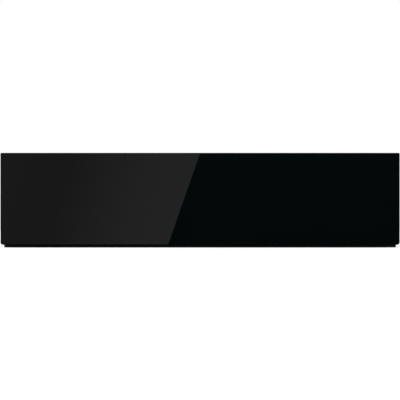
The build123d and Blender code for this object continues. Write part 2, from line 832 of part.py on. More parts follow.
lip_z0 = strip_height + carrier_bottom_inset
lip_z1 = front_height - carrier_top_inset
adhesive_inset = (carrier_lip - adhesive_width) / 2
strips = []
for z in (lip_z0 + adhesive_inset, lip_z1 - adhesive_inset - adhesive_width):
    strips.append(
        block(
            -carrier_half + adhesive_inset, carrier_half - adhesive_inset,
            y_glass_back, y_carrier_front, z, z + adhesive_width,
        )
    )
for side in both_sides(
    block(
        carrier_half - adhesive_inset - adhesive_width, carrier_half - adhesive_inset,
        y_glass_back, y_carrier_front, lip_z0 + carrier_lip, lip_z1 - carrier_lip,
    )
):
    strips.append(side)
write("glass_adhesive", *strips)

carrier = block(-carrier_half, carrier_half, y_carrier_front, y_carrier_back, lip_z0, lip_z1)
carrier -= block(
    -carrier_half + carrier_sheet, carrier_half - carrier_sheet,
    y_carrier_front + carrier_sheet, y_carrier_back - carrier_sheet,
    lip_z0 + carrier_sheet, lip_z1 - carrier_sheet,
)
carrier -= block(
    -carrier_half + carrier_lip, carrier_half - carrier_lip,
    y_carrier_front, y_carrier_front + carrier_sheet, lip_z0 + carrier_lip, lip_z1 - carrier_lip,
)
front_screw_starts = []
for side in (-1, 1):
    for z in first_middle_last(rail_z - front_screw_spread, rail_z + front_screw_spread):
        front_screw_starts.append((side * front_screw_x, y_flange, z))
for start in front_screw_starts:
    carrier -= pin(start, inward, front_screw_length, front_screw_radius + sliding_fit)
write("front_carrier", carrier)

front_screws = []
for start in front_screw_starts:
    head_start = Vector(*start) - Vector(*inward) * front_screw_head
    screw = pin(start, inward, front_screw_length, front_screw_radius)
    screw += pin(head_start, inward, front_screw_head, front_screw_head_radius)
    recess = Plane(origin=head_start, z_dir=inward) * RegularPolygon(screw_recess_radius, 6)
    screw -= extrude(recess, amount=screw_recess_depth)
    front_screws.append(screw)
write("front_screws", *front_screws)

# ---- drawer box ----------------------------------------------------------------------------------
wall = block(wall_inner, wall_outer, y_carrier_back, box_back, wall_bottom, drawer_top)
wall += block(wall_outer, wall_outer + wall_rim, y_flange, y_box_back, z_ledge, drawer_top)
wall += block(
    wall_outer - wall_front_flange, wall_outer, y_carrier_back, y_flange,
    drawer_floor_top + wall_flange_bottom, drawer_top - wall_flange_top,
)
for start in front_screw_starts:
    if start[0] > 0:
        wall -= pin(start, inward, drawer_sheet, front_screw_radius + sliding_fit)
wall -= rivet_holes([site for site in wall_sites if site[0][0] > 0])
write("drawer_right_wall", wall)
write("drawer_left_wall", mirrored(wall))

floor = block(-wall_inner, wall_inner, y_flange, y_box_back, z_floor, drawer_floor_top)
for side in both_sides(
    block(wall_inner - drawer_sheet, wall_inner, floor_flange_y0, floor_flange_y1, wall_bottom, z_floor)
):
    floor += side
floor -= rivet_holes(floor_sites)
write("drawer_floor", floor)


def cross_wall(face_y, away, ledge_end):
    """Wall across the drawer with folded sides and a top ledge; away is the way the folds point."""
    back_y = face_y + away * drawer_sheet
    fold_end = back_y + away * inner_flange
    near, far = sorted((face_y, back_y))
    panel = block(-wall_inner, wall_inner, near, far, drawer_floor_top, drawer_top)
    for fold in both_sides(
        block(
            wall_inner - drawer_sheet, wall_inner, min(back_y, fold_end), max(back_y, fold_end),
            drawer_floor_top + inner_flange_bottom, z_ledge - inner_flange_top,
        )
    ):
        panel += fold
    return panel + block(
        -wall_inner, wall_inner, min(face_y, ledge_end), max(face_y, ledge_end), z_ledge, drawer_top
    )


selector_centre = (selector_x, inner_front_y, selector_z)
lens_centre = (lens_x, inner_front_y, selector_z)
inner_front = cross_wall(inner_front_y, -1, y_flange)
inner_front -= pin(selector_centre, inward, drawer_sheet, switch_bush_radius + sliding_fit)
inner_front -= pin(lens_centre, inward, drawer_sheet, lens_radius + sliding_fit)
inner_front -= rivet_holes(inner_front_sites)
write("drawer_inner_front", inner_front)

rear_wall = cross_wall(rear_wall_y, 1, y_box_back)
intake = slot_field(intake_length, grille_slot, True, intake_columns, 1, intake_pitch, intake_length)
outlet = slot_field(
    grille_slot_length, grille_slot, True, outlet_columns, outlet_rows, outlet_pitch, outlet_row_pitch
)
rear_wall -= plate_xz(intake, 0, rail_z, rear_wall_y, rear_wall_y + drawer_sheet)
outlet_x = wall_inner - outlet_side_inset
for x in (-outlet_x, outlet_x):
    rear_wall -= plate_xz(outlet, x, rail_z, rear_wall_y, rear_wall_y + drawer_sheet)
rear_wall -= rivet_holes(rear_wall_sites)
write("drawer_rear_wall", rear_wall)

back_panel = block(-wall_inner, wall_inner, y_box_back, box_back, wall_bottom, drawer_top)
for fold in both_sides(
    block(
        wall_inner - drawer_sheet, wall_inner, y_box_back - inner_flange, y_box_back,
        drawer_floor_top + inner_flange_bottom, z_ledge - inner_flange_top,
    )
):
    back_panel += fold
back_panel -= rivet_holes(back_sites + striker_sites + motor_sites)
write("drawer_back_panel", back_panel)

mat_front = inner_front_y + mat_front_inset
mat_back = rear_wall_y - mat_rear_inset
mat_sketch = RectangleRounded(2 * (wall_inner - mat_side_inset), mat_back - mat_front, mat_corner)
mat = plate_xy(mat_sketch, 0, (mat_front + mat_back) / 2, drawer_floor_top, drawer_floor_top + mat_thickness)
write("anti_slip_mat", mat)

# ---- floor heating -------------------------------------------------------------------------------
leg_first = heater_side_inset - wall_inner
heater_pitch = -2 * leg_first / (heater_legs - 1)
bend = heater_pitch / 2
leg_xs = [leg_first + index * heater_pitch for index in range(heater_legs)]
heater_front = inner_front_y + heater_front_inset
heater_rear = rear_wall_y - heater_rear_inset
heater_end = rear_wall_y + heater_end_reach
heater_edges = []
for index, x in enumerate(leg_xs):
    to_front = index % 2 == 0
    far_rear = heater_end if index in (0, heater_legs - 1) else heater_rear - bend
    near_front = heater_front + bend
    ends = ((x, far_rear, z_heater), (x, near_front, z_heater))
    heater_edges.append(Line(*(ends if to_front else ends[::-1])))
    if index < heater_legs - 1:
        turn_y = near_front if to_front else heater_rear - bend
        tip_y = heater_front if to_front else heater_rear
        turn_end = (x + heater_pitch, turn_y, z_heater)
        heater_edges.append(ThreePointArc((x, turn_y, z_heater), (x + bend, tip_y, z_heater), turn_end))
heater_path = Wire(heater_edges)
tube_start = Plane(origin=(leg_xs[0], heater_end, z_heater), z_dir=inward)
heater = sweep(tube_start * Circle(heater_radius), path=heater_path)
for x in (leg_xs[0], leg_xs[-1]):
    heater += pin((x, heater_end, z_heater), (0, 1, 0), heater_pin_length, heater_pin_radius)
write("heating_element", heater)

clips = []
clip_bottom = z_heater - heater_radius - heater_clip_wall
for x in leg_xs:
    for y in (-heater_clip_distance, heater_clip_distance):
        clip = block(
            x - heater_clip_width / 2, x + heater_clip_width / 2,
            y - heater_clip_depth / 2, y + heater_clip_depth / 2, clip_bottom, z_floor,
        )
        clip_bore = heater_radius + sliding_fit
        clip -= pin((x, y - heater_clip_depth, z_heater), (0, 1, 0), 2 * heater_clip_depth, clip_bore)
        clips.append(clip)
write("heater_clips", *clips)

cover_half = wall_inner - drawer_sheet
blanket_half = cover_half - blanket_inset
blanket = block(
    -blanket_half, blanket_half, floor_flange_y0 + blanket_end_inset, floor_flange_y1 - blanket_end_inset,
    z_blanket, z_blanket + blanket_thickness,
)
write("heater_insulation", blanket)

thermostat_start = (0, thermostat_offset, z_floor - thermostat_height)
thermostat = pin(thermostat_start, up, thermostat_height, thermostat_radius)
thermostat = chamfer(thermostat.edges().group_by(Axis.Z)[0], thermostat_tab / 2)
for side in (-1, 1):
    tab_y = thermostat_offset + side * (thermostat_radius + thermostat_tab_length / 2 - thermostat_tab)
    thermostat += Pos(0, tab_y, z_floor - thermostat_tab) * Box(
        2 * thermostat_tab, thermostat_tab_length, drawer_sheet
    )
write("safety_thermostat", thermostat)

bottom = block(-cover_half, cover_half, floor_flange_y0, floor_flange_y1, cover_bottom, z_blanket)
for side in both_sides(
    block(
        cover_half - drawer_sheet, cover_half, floor_flange_y0, floor_flange_y1,
        z_blanket, z_floor - cover_flange_inset,
    )
):
    bottom += side
bottom -= rivet_holes(floor_sites)
write("drawer_bottom_cover", bottom)

# ---- selector ------------------------------------------------------------------------------------
y_switch = inner_front_y - drawer_sheet
half_switch = switch_size / 2
switch = block(
    selector_x - half_switch, selector_x + half_switch, y_switch - switch_depth, y_switch,
    selector_z - half_switch, selector_z + half_switch,
)
switch = fillet(switch.edges().filter_by(Axis.Y), switch_round)
switch += pin((selector_x, y_switch, selector_z), (0, 1, 0), drawer_sheet, switch_bush_radius)
switch -= pin(
    (selector_x, spindle_back, selector_z), (0, 1, 0), inner_front_y - spindle_back,
    spindle_radius + sliding_fit,
)
tab_pitch = switch_size / 4
for index in (-1, 0, 1):
    tab_x = selector_x + index * tab_pitch
    switch += block(
        tab_x - switch_tab_width / 2, tab_x + switch_tab_width / 2,
        y_switch - switch_depth - switch_tab_length, y_switch - switch_depth,
        selector_z - drawer_sheet / 2, selector_z + drawer_sheet / 2,
    )
write("selector_switch", switch)

y_dial = inner_front_y + dial_thickness
dial = plate_xz(
    RectangleRounded(dial_left + dial_right, 2 * dial_half_height, dial_corner),
    selector_x + (dial_right - dial_left) / 2, selector_z, inner_front_y, y_dial,
)
dial -= pin((selector_x, y_dial, selector_z), inward, dial_thickness, switch_bush_radius + sliding_fit)
dial -= pin((lens_x, y_dial, selector_z), inward, dial_thickness, lens_radius + sliding_fit)
write("dial_plate", dial)

lens = pin((lens_x, lens_back, selector_z), (0, 1, 0), y_dial - lens_back, lens_radius)
lens_head = pin((lens_x, y_dial, selector_z), (0, 1, 0), lens_flange, lens_flange_radius)
lens += fillet(lens_head.edges().sort_by(Axis.Y)[-1], lens_flange / 2)
write("indicator_lens", lens)

spindle_start = (selector_x, spindle_back, selector_z)
spindle = pin(spindle_start, (0, 1, 0), spindle_front - spindle_back, spindle_radius)
spindle -= block(
    selector_x - spindle_radius, selector_x + spindle_radius, y_dial + knob_gap, spindle_front,
    selector_z + spindle_flat, selector_z + spindle_radius,
)
write("selector_spindle", spindle)

y_knob = y_dial + knob_gap
skirt = pin((selector_x, y_knob, selector_z), (0, 1, 0), knob_skirt_height, knob_skirt_radius)
skirt = fillet(skirt.edges().sort_by(Axis.Y)[-1], knob_round)
grip = pin((selector_x, y_knob, selector_z), (0, 1, 0), knob_face_y - y_knob, knob_radius)
for index in range(knob_flutes):
    angle = 2 * math.pi * index / knob_flutes
    flute_x = selector_x + knob_radius * math.cos(angle)
    flute_z = selector_z + knob_radius * math.sin(angle)
    grip -= pin((flute_x, y_knob, flute_z), (0, 1, 0), knob_face_y - y_knob, knob_flute_radius)
grip -= block(
    selector_x - pointer_width / 2, selector_x + pointer_width / 2, knob_face_y - pointer_depth, knob_face_y,
    selector_z + knob_radius - pointer_length - knob_flute_radius,
    selector_z + knob_radius - 2 * knob_flute_radius,
)
knob = skirt + grip
socket = pin(
    (selector_x, y_knob, selector_z), (0, 1, 0), spindle_front + snug_fit - y_knob, spindle_radius + snug_fit
)
socket -= block(
    selector_x - knob_radius, selector_x + knob_radius, y_knob, knob_face_y,
    selector_z + spindle_flat + snug_fit, selector_z + knob_radius,
)
knob -= socket
write("selector_knob", knob)

# ---- fan -----------------------------------------------------------------------------------------
y_inlet = rear_wall_y + drawer_sheet
outward = (0, 1, 0)
inlet = turned(
    [
        (inlet_radius, 0), (inlet_radius + inlet_flange_width, 0),
        (inlet_radius + inlet_flange_width, inlet_flange),
        (inlet_radius + inlet_wall, inlet_flange), (inlet_radius + inlet_wall, inlet_depth),
        (inlet_radius, inlet_depth),
    ],
    (0, y_inlet, rail_z), outward,
)
write("fan_inlet_ring", inlet)

wheel = turned(
    [
        (shaft_radius + snug_fit, hub_front), (hub_radius, hub_front),
        (hub_radius, wheel_back - wheel_plate),
        (wheel_radius, wheel_back - wheel_plate), (wheel_radius, wheel_back), (hub_radius, wheel_back),
        (hub_radius, hub_back), (shaft_radius + snug_fit, hub_back),
    ],
    (0, 0, rail_z), outward,
)
wheel += turned(
    [
        (wheel_radius - wheel_ring_width, wheel_front), (wheel_radius, wheel_front),
        (wheel_radius, wheel_front + wheel_ring),
        (wheel_radius - wheel_ring_width, wheel_front + wheel_ring),
    ],
    (0, 0, rail_z), outward,
)
blade_length = (blade_depth - 2 * blade_thickness) / math.cos(math.radians(blade_sweep))
blade_middle = (wheel_radius + blade_inner) / 2
for index in range(wheel_blades):
    blade_profile = Rot(0, 0, 360 * index / wheel_blades) * Pos(blade_middle, 0) * Rot(0, 0, blade_sweep)
    blade_profile = blade_profile * Rectangle(blade_length, blade_thickness)
    wheel += plate_xz(blade_profile, 0, rail_z, wheel_front + wheel_ring / 2, wheel_back - wheel_plate / 2)
write("fan_wheel", wheel)

shaft = pin((0, shaft_front, rail_z), outward, shaft_back - shaft_front, shaft_radius)
write("fan_shaft", shaft)

motor = pin((0, motor_front, rail_z), outward, y_box_back - motor_front, motor_radius)
half_stack = motor_stack / 2
motor += block(
    -half_stack, half_stack, motor_stack_front, motor_stack_front + motor_stack_depth,
    rail_z - half_stack, rail_z + half_stack,
)
motor += block(
    -motor_ear_half, motor_ear_half, y_box_back - motor_ear, y_box_back,
    rail_z - motor_ear_height / 2, rail_z + motor_ear_height / 2,
)
motor -= pin((0, motor_front, rail_z), outward, motor_bore_end - motor_front, shaft_radius + sliding_fit)
motor -= rivet_holes(motor_sites)
write("fan_motor", motor)

# ---- push-to-open latch --------------------------------------------------------------------------
latch = block(
    -latch_half_width, latch_half_width, latch_front, y_rear_inner,
    latch_z - latch_height / 2, latch_z + latch_height / 2,
)
latch -= block(
    -latch_cavity_half, latch_cavity_half, latch_front, latch_cavity_end,
    latch_z - latch_cavity_height / 2, latch_z + latch_cavity_height / 2,
)
latch += block(
    -latch_ear_half, -latch_half_width, y_rear_inner - latch_ear, y_rear_inner,
    latch_z - latch_height / 2, latch_z + latch_height / 2,
)
latch += block(
    latch_half_width, latch_ear_half, y_rear_inner - latch_ear, y_rear_inner,
    latch_z - latch_height / 2, latch_z + latch_height / 2,
)
latch -= rivet_holes(latch_sites)
write("push_latch_body", latch)

neck_end = box_back + striker_plate + striker_neck_length
striker = block(
    -striker_half_width, striker_half_width, box_back, box_back + striker_plate,
    latch_z - striker_height / 2, latch_z + striker_height / 2,
)
half_tongue = striker_tongue_height / 2
striker += block(
    -striker_neck / 2, striker_neck / 2, box_back + striker_plate, neck_end,
    latch_z - half_tongue, latch_z + half_tongue,
)
striker += block(
    -striker_head / 2, striker_head / 2, neck_end, neck_end + striker_head_depth,
    latch_z - half_tongue, latch_z + half_tongue,
)
head_edges = striker.faces().sort_by(Axis.Y)[-1].edges().filter_by(Axis.Z)
striker = chamfer(head_edges, striker_point)
striker -= rivet_holes(striker_sites)
write("push_latch_striker", striker)

jaw_x = striker_head / 2 + jaw_gap
hook_y1 = neck_end - jaw_gap
hook_y0 = hook_y1 - jaw_hook
jaw_z0 = latch_z - jaw_height / 2
jaw_z1 = latch_z + jaw_height / 2
jaws = []
for side in both_sides(
    block(jaw_x, jaw_x + jaw_thickness, hook_y0, latch_cavity_end, jaw_z0, jaw_z1)
    + block(striker_neck / 2 + jaw_gap, jaw_x, hook_y0, hook_y1, jaw_z0, jaw_z1)
):
    jaws.append(side)
write("push_latch_jaws", *jaws)

# ---- leaf springs --------------------------------------------------------------------------------
leaf_apex = box_back + leaf_rest_gap
leaf_rise = y_rear_inner - leaf_apex
leaf_radius = (leaf_half_span**2 + leaf_rise**2) / (2 * leaf_rise)
leaves = []
for x in (-leaf_x, leaf_x):
    centre = Pos(x, leaf_apex + leaf_radius)
    arch = centre * Circle(leaf_radius) - centre * Circle(leaf_radius - leaf_thickness)
    span = 4 * leaf_radius
    arch -= Pos(x, y_rear_inner + span / 2) * Rectangle(span, span)
    for way in (-1, 1):
        foot_x_middle = x + way * (leaf_half_span + leaf_foot / 2 - leaf_thickness)
        arch += Pos(foot_x_middle, y_rear_inner - leaf_thickness / 2) * Rectangle(
            leaf_foot + 2 * leaf_thickness, leaf_thickness
        )
    leaves.append(plate_xy(arch, 0, 0, rail_z - leaf_width / 2, rail_z + leaf_width / 2))
leaves = [leaf - rivet_holes(leaf_sites) for leaf in leaves]
write("ejector_springs", *leaves)

# ---- electrical connections ----------------------------------------------------------------------
terminal = block(
    terminal_x - terminal_half_width, terminal_x + terminal_half_width, terminal_front, terminal_back,
    z_base_top, z_base_top + terminal_height,
)
reach = terminal_half_width + terminal_foot_reach
terminal += block(
    terminal_x - reach, terminal_x + reach, terminal_front, terminal_back,
    z_base_top, z_base_top + terminal_foot,
)
terminal_top = z_base_top + terminal_height
for index in range(terminal_ways):
    x = terminal_x + (index - (terminal_ways - 1) / 2) * terminal_way_pitch
    terminal -= pin(
        (x, (terminal_front + terminal_back) / 2, terminal_top), down, terminal_well_depth,
        terminal_well_radius,
    )
    terminal -= pin(
        (x, terminal_front, terminal_top - terminal_well_depth), outward, terminal_well_depth,
        terminal_well_radius,
    )
terminal -= rivet_holes(terminal_sites)
write("terminal_block", terminal)

gland_nut_plane = Plane(origin=(gland_x, y_rear_inner, gland_z), z_dir=inward)
hexagon = RegularPolygon(gland_across_flats / 2, 6, major_radius=False)
gland_outer_plane = Plane(origin=(gland_x, y_rear_outer, gland_z), z_dir=outward)
gland = extrude(gland_outer_plane * hexagon, amount=gland_collar)
gland += pin((gland_x, y_rear_outer - gland_inside, gland_z), outward, gland_inside, gland_thread)
dome_start = y_rear_outer + gland_collar
gland_dome = rear_gap - gland_collar
gland += turned(
    [
        (0, 0), (gland_thread + gland_crown, 0), (gland_thread, gland_dome - gland_crown),
        (gland_thread - gland_crown, gland_dome), (0, gland_dome),
    ],
    (gland_x, dome_start, gland_z), outward,
)
gland_start = y_rear_outer - gland_inside
gland -= pin((gland_x, gland_start, gland_z), outward, dome_start + gland_dome - gland_start, gland_bore)
locknut = extrude(gland_nut_plane * hexagon, amount=gland_nut)
locknut -= pin((gland_x, y_rear_inner, gland_z), inward, gland_nut, gland_thread + sliding_fit)
write("mains_gland", gland, locknut)

# ---- rivets --------------------------------------------------------------------------------------
write("housing_rivets", *[rivet(site) for site in housing_sites])
write("drawer_rivets", *[rivet(site) for site in drawer_sites])

print(f"ball centres at {outer_ball:.2f} and {inner_ball:.2f} from the rail's middle")
print(f"leaf spring radius {leaf_radius:.2f}, travel {push_travel:.1f} in a gap of {push_gap:.1f}")
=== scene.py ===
"""Looks of the built-in warming drawer: its finishes, its fine pieces and the studio round it.

All sizes are in metres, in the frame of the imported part: +X to the right across the front,
-Y out of the cabinet towards the user, +Z up, the origin on the shelf under the middle of the part.
"""
import math

import bmesh
import bpy
import numpy as np
from bpy.props import FloatProperty, FloatVectorProperty, PointerProperty
from mathutils import Matrix, Vector, noise


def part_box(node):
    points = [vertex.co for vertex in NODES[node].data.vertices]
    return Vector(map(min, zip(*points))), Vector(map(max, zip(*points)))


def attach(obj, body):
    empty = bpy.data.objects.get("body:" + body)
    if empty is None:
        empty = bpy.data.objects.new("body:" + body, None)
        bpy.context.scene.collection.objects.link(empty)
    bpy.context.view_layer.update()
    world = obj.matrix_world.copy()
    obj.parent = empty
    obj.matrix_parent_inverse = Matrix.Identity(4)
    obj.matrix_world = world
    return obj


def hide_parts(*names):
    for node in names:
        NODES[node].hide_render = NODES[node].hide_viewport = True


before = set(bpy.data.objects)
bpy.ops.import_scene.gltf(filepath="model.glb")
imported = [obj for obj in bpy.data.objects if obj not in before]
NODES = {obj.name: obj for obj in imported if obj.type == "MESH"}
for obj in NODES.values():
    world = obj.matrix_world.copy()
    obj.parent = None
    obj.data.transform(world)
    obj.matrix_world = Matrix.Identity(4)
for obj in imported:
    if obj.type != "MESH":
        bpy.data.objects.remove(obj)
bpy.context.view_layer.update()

bl_info = {
    "name": "Warming drawer",
    "version": (1, 0, 0),
    "blender": (4, 5, 0),
    "location": "View3D > Sidebar > Warming drawer",
    "description": "Finishes and fine pieces of a built-in warming drawer, and a plain studio",
    "category": "Add Mesh",
}

GLASS_LOW, GLASS_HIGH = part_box("glass_front_panel")
MAT_LOW, MAT_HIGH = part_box("anti_slip_mat")
DIAL_LOW, DIAL_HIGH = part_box("dial_plate")
KNOB_LOW, KNOB_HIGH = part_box("selector_knob")
MILLIMETRE = 0.001
MERGE = 1e-6                        # points nearer than this are one point
SMOOTH_BELOW = math.radians(35)     # edges softer than this are shaded smooth
BROAD_FACE = 5                      # faces with this many corners or more are shaded flat

# glass front
EDGE_STEPS = 6                      # facets round the ground edge
CORNER_STEPS = 8                    # facets round each corner
ARRIS = 0.0004                      # small bevel on the back edge
PANE_FACE, PANE_EDGE, PANE_BACK, PANE_SIDE = range(4)

# rivets and screws
END_TOLERANCE = 0.05 * MILLIMETRE   # points this near to an end of a fastener lie on it
HEAD_SHARE = 0.8                    # an end with a head is wider than this share of the head
RIVET_SEGMENTS, PIN_SEGMENTS = 16, 14
SCREW_SEGMENTS, THREAD_SEGMENTS = 36, 18
RECESS_LOBES, LOBE_DEPTH = 6, 0.13  # depth as a share of the recess's radius
THREAD_PITCH = 0.0008
THREAD_SHARE = 0.4                  # thread depth as a share of its pitch
THREAD_ROWS = 5                     # rows of points to each turn
CLAMP_SEAT = 0.0045                 # depth of the clamp screws' seats in the terminal block
CLAMP_PITCH = 0.018
CLAMP_RADIUS, CLAMP_HEIGHT, CLAMP_SHANK, CLAMP_LENGTH = 0.0029, 0.0022, 0.0019, 0.006

# fibre boards and mat
BOARD_GRID = 0.008                  # spacing of the points
BOARD_WAVES = 45.0
BOARD_RIM, BOARD_HOLLOW = 1.6, 0.7  # drop at the rim and in the hollows, as shares of the relief
FILLET_POINTS = 10
MAT_MARGINS = (1.9, 1.4)            # length that the rows of studs leave free, in pitches
STUD_SEGMENTS = 10
STUD_SUNK, STUD_TOP = 0.4, 0.82     # the foot's depth to the height, the top's radius to the foot's

# selector
DIAL_STEPS = 4                      # it turns from 0 to 4
DIAL_TURN = 240.0
PRINT_THICKNESS = 0.00006
FONT_SHARE = 1.4                    # font size to the height of a digit
FONT_STEPS = 6
TICK_CIRCLE = 0.0170
TICK_LENGTH = 0.0018
TICK_WIDTH = 0.0005
BAR_STEPS = 6
POINTER_SPAN = (0.0038, 0.0105)     # the knob's groove, from its axis outwards
POINTER_WIDTH = 0.00125
POINTER_DEPTH = 0.0005

# studio
WHITE = (1.0, 1.0, 1.0, 1.0)
SENSOR = 36.0
CLIP = (0.1, 100.0)
CAMERA_X = -0.0001
FLOOR_SIZE = 30.0
FLOOR_Z = -0.0002
FLOOR_COLOUR = (0.8, 0.8, 0.8, 1.0)
FLOOR_GLOW = (0.3, 0.52)            # near the drawer, where its shadow falls, and far from it
FLOOR_NEAR, FLOOR_FAR = 0.7, 2.4
SHEEN_EDGE = ((0.0, 0.1408), (-0.0479, 0.0037))     # x and z of the slanting edge on the glass
CARD_HALF = 0.8
CARD_LOW_Z, CARD_HIGH_Z = 0.0, 0.36
CARD_SHADE_WIDTH = 0.3
CARD_SHADES = (                     # share of the width from the slanting edge, and the shade there
    (0.0, (0.349, 0.380, 0.350)), (0.014, (0.360, 0.340, 0.332)), (0.07, (0.369, 0.340, 0.332)),
    (0.22, (0.349, 0.320, 0.312)), (0.42, (0.276, 0.247, 0.240)), (0.61, (0.197, 0.168, 0.161)),
    (0.81, (0.197, 0.168, 0.161)), (0.90, (0.212, 0.183, 0.175)),
)
FLAG_START = 0.2                    # place of the middle of the black card on its scale of shades
FLAG_SHADES = (
    (0.15, (0.002, 0.002, 0.002)), (0.22, (0.008, 0.008, 0.008)), (0.6, (0.002, 0.002, 0.002)),
)
LAMPS = (                           # name, place, size, and the setting that gives its power
    ("key_lamp", (-2.3, -2.9, 2.5), 3.6, "key_power"),
    ("right_lamp", (2.9, -2.0, 1.7), 3.0, "fill_power"),
    ("top_lamp", (0.3, 0.2, 3.2), 3.0, "fill_power"),
    ("back_lamp", (-0.8, 3.4, 1.9), 3.0, "fill_power"),
)


# ---- node trees ----------------------------------------------------------------------------------

class Value:
    """A node's output that takes part in arithmetic; each operation adds a Math node."""

    def __init__(self, graph, socket):
        self.graph = graph
        self.socket = socket

    def __add__(self, other):
        return self.graph.math("ADD", self, other)

    def __radd__(self, other):
        return self.graph.math("ADD", other, self)

    def __sub__(self, other):
        return self.graph.math("SUBTRACT", self, other)

    def __rsub__(self, other):
        return self.graph.math("SUBTRACT", other, self)

    def __mul__(self, other):
        return self.graph.math("MULTIPLY", self, other)

    def __rmul__(self, other):
        return self.graph.math("MULTIPLY", other, self)

    def __truediv__(self, other):
        return self.graph.math("DIVIDE", self, other)

    def __rtruediv__(self, other):
        return self.graph.math("DIVIDE", other, self)


class Graph:
    """Adds nodes to one tree: settings first, then the values or links of the sockets."""

    def __init__(self, tree):
        self.tree = tree

    def node(self, kind, settings=None, sockets=None, output=0):
        made = self.tree.nodes.new(kind)
        for name, value in (settings or {}).items():
            if name == "stops":
                self._set_stops(made.color_ramp, value)
            else:
                setattr(made, name, value)
        for key, value in (sockets or {}).items():
            if isinstance(value, Value):
                self.tree.links.new(value.socket, made.inputs[key])
            else:
                made.inputs[key].default_value = value
        return Value(self, made.outputs[output]) if made.outputs else None

    def _set_stops(self, ramp, stops):
        while len(ramp.elements) < len(stops):
            ramp.elements.new(1.0)
        for element, (position, colour) in zip(ramp.elements, stops):
            element.position = position
            element.color = (*colour, 1.0)

    def math(self, operation, first, second=0.0):
        return self.node("ShaderNodeMath", {"operation": operation}, {0: first, 1: second})

    def vector_math(self, operation, first, second=(0.0, 0.0, 0.0), output=0):
        sockets = {0: first, 1: second}
        return self.node("ShaderNodeVectorMath", {"operation": operation}, sockets, output)

    def split(self, vector):
        """The X, Y and Z of a vector."""
        apart = self.node("ShaderNodeSeparateXYZ", sockets={"Vector": vector})
        return [Value(self, part) for part in apart.socket.node.outputs]

    def ramp(self, value, stops):
        return self.node("ShaderNodeValToRGB", {"stops": stops}, {"Fac": value})

    def span(self, value, low, high, to_low=0.0, to_high=1.0):
        """A value's range mapped to another one, held at its ends."""
        ends = {"From Min": low, "From Max": high, "To Min": to_low, "To Max": to_high}
        return self.node("ShaderNodeMapRange", {"clamp": True}, {"Value": value, **ends})


class Finish(Graph):
    """One material, read in the object's own metres."""

    def __init__(self, name):
        self.material = bpy.data.materials.new(name)
        self.material.use_nodes = True
        super().__init__(self.material.node_tree)
        self.tree.nodes.clear()
        self.place = self.node("ShaderNodeTexCoord", output="Object")

    def stretched(self, x, y, z):
        return self.node("ShaderNodeMapping", sockets={"Vector": self.place, "Scale": (x, y, z)})

    def noise(self, scale, detail=3.0, roughness=0.55, at=None, distortion=0.0):
        sockets = {
            "Vector": at or self.place, "Scale": scale, "Detail": detail,
            "Roughness": roughness, "Distortion": distortion,
        }
        return self.node("ShaderNodeTexNoise", sockets=sockets)

    def cells(self, scale, at=None):
        """A random value for each cell of a Voronoi pattern, as the grains of a zinc coat."""
        colour = self.node(
            "ShaderNodeTexVoronoi", sockets={"Vector": at or self.place, "Scale": scale}, output="Color"
        )
        return self.node("ShaderNodeSeparateColor", sockets={"Color": colour})

    def mixed(self, factor, first, second):
        """Two colours mixed; plain colours are given as three numbers."""
        sockets = {0: factor}
        for key, colour in ((6, first), (7, second)):
            sockets[key] = colour if isinstance(colour, Value) else (*colour, 1.0)
        return self.node("ShaderNodeMix", {"data_type": "RGBA"}, sockets, 2)

    def rounded(self, radius):
        """Surface normal with its edges eased over a radius."""
        return self.node("ShaderNodeBevel", {"samples": 4}, {"Radius": radius})

    def edges(self, rounded):
        """One where the eased normal leaves the flat one, which is where a coat wears first, and where
        the zinc sheet's painted seam shade lies.
        """
        flat = self.node("ShaderNodeNewGeometry", output="True Normal")
        agreement = self.vector_math("DOT_PRODUCT", rounded, flat, "Value")
        return self.span(agreement, 0.995, 0.86)

    def relief(self, height, depth, normal=None):
        sockets = {"Height": height, "Distance": depth, "Strength": 1.0}
        if normal:
            sockets["Normal"] = normal
        return self.node("ShaderNodeBump", sockets=sockets)

    def close(self, colour, roughness, normal=None, **constants):
        """Ends the tree in a Principled shader; the constants are set on its own sockets."""
        sockets = {"Roughness": roughness}
        sockets["Base Color"] = colour if isinstance(colour, Value) else (*colour, 1.0)
        if normal:
            sockets["Normal"] = normal
        for name, value in constants.items():
            sockets[name.replace("_", " ")] = value
        return self.ended(self.node("ShaderNodeBsdfPrincipled", sockets=sockets))

    def ended(self, shader):
        self.node("ShaderNodeOutputMaterial", sockets={"Surface": shader})
        return self.material


# ---- finishes: sheet metal -----------------------------------------------------------------------

def galvanised_steel(name, sheet, tone):
    """Hot-dip zinc coat: angular grains, dull clouds, edges darkened both as bare cut edges and as
    painted seam shade; each panel from its own sheet.
    """
    finish = Finish(name)
    finish.place = finish.vector_math("ADD", finish.place, sheet)
    bends = {"Vector": finish.place, "Scale": 90.0, "Detail": 2.0}
    wander = finish.node("ShaderNodeTexNoise", sockets=bends, output="Color")
    shift = finish.vector_math("MULTIPLY", wander, (0.006, 0.006, 0.006))
    warped = finish.vector_math("ADD", finish.place, shift)
    coarse = finish.cells(150, warped)
    small = finish.cells(430, warped)
    grain = coarse * 0.6 + small * 0.4
    fine = finish.noise(1700, 2)
    cloud = finish.noise(7, 4, 0.6)
    eased = finish.rounded(0.55 * MILLIMETRE)
    edge = finish.edges(eased)
    shades = ((0.0, (0.40, 0.415, 0.43)), (0.5, (0.47, 0.485, 0.50)), (1.0, (0.54, 0.555, 0.57)))
    toned = [(at, tuple(channel * tone for channel in colour)) for at, colour in shades]
    tint = finish.ramp(grain * 0.75 + cloud * 0.35 - 0.04, toned)
    dull = finish.span(cloud, 0.42, 0.72)
    tint = finish.mixed(dull * 0.3, tint, (0.40, 0.41, 0.42))
    # darker at every edge: partly bare cut zinc, partly painted shade that marks the seams between
    # panels
    tint = finish.mixed(edge * 0.75, tint, (0.22, 0.215, 0.21))
    rough = 0.38 + grain * 0.08 + dull * 0.10 + fine * 0.06 + edge * 0.1
    normal = finish.relief(grain * 0.4 + fine * 0.25, 0.04 * MILLIMETRE, eased)
    return finish.close(tint, rough, normal, Metallic=0.95)


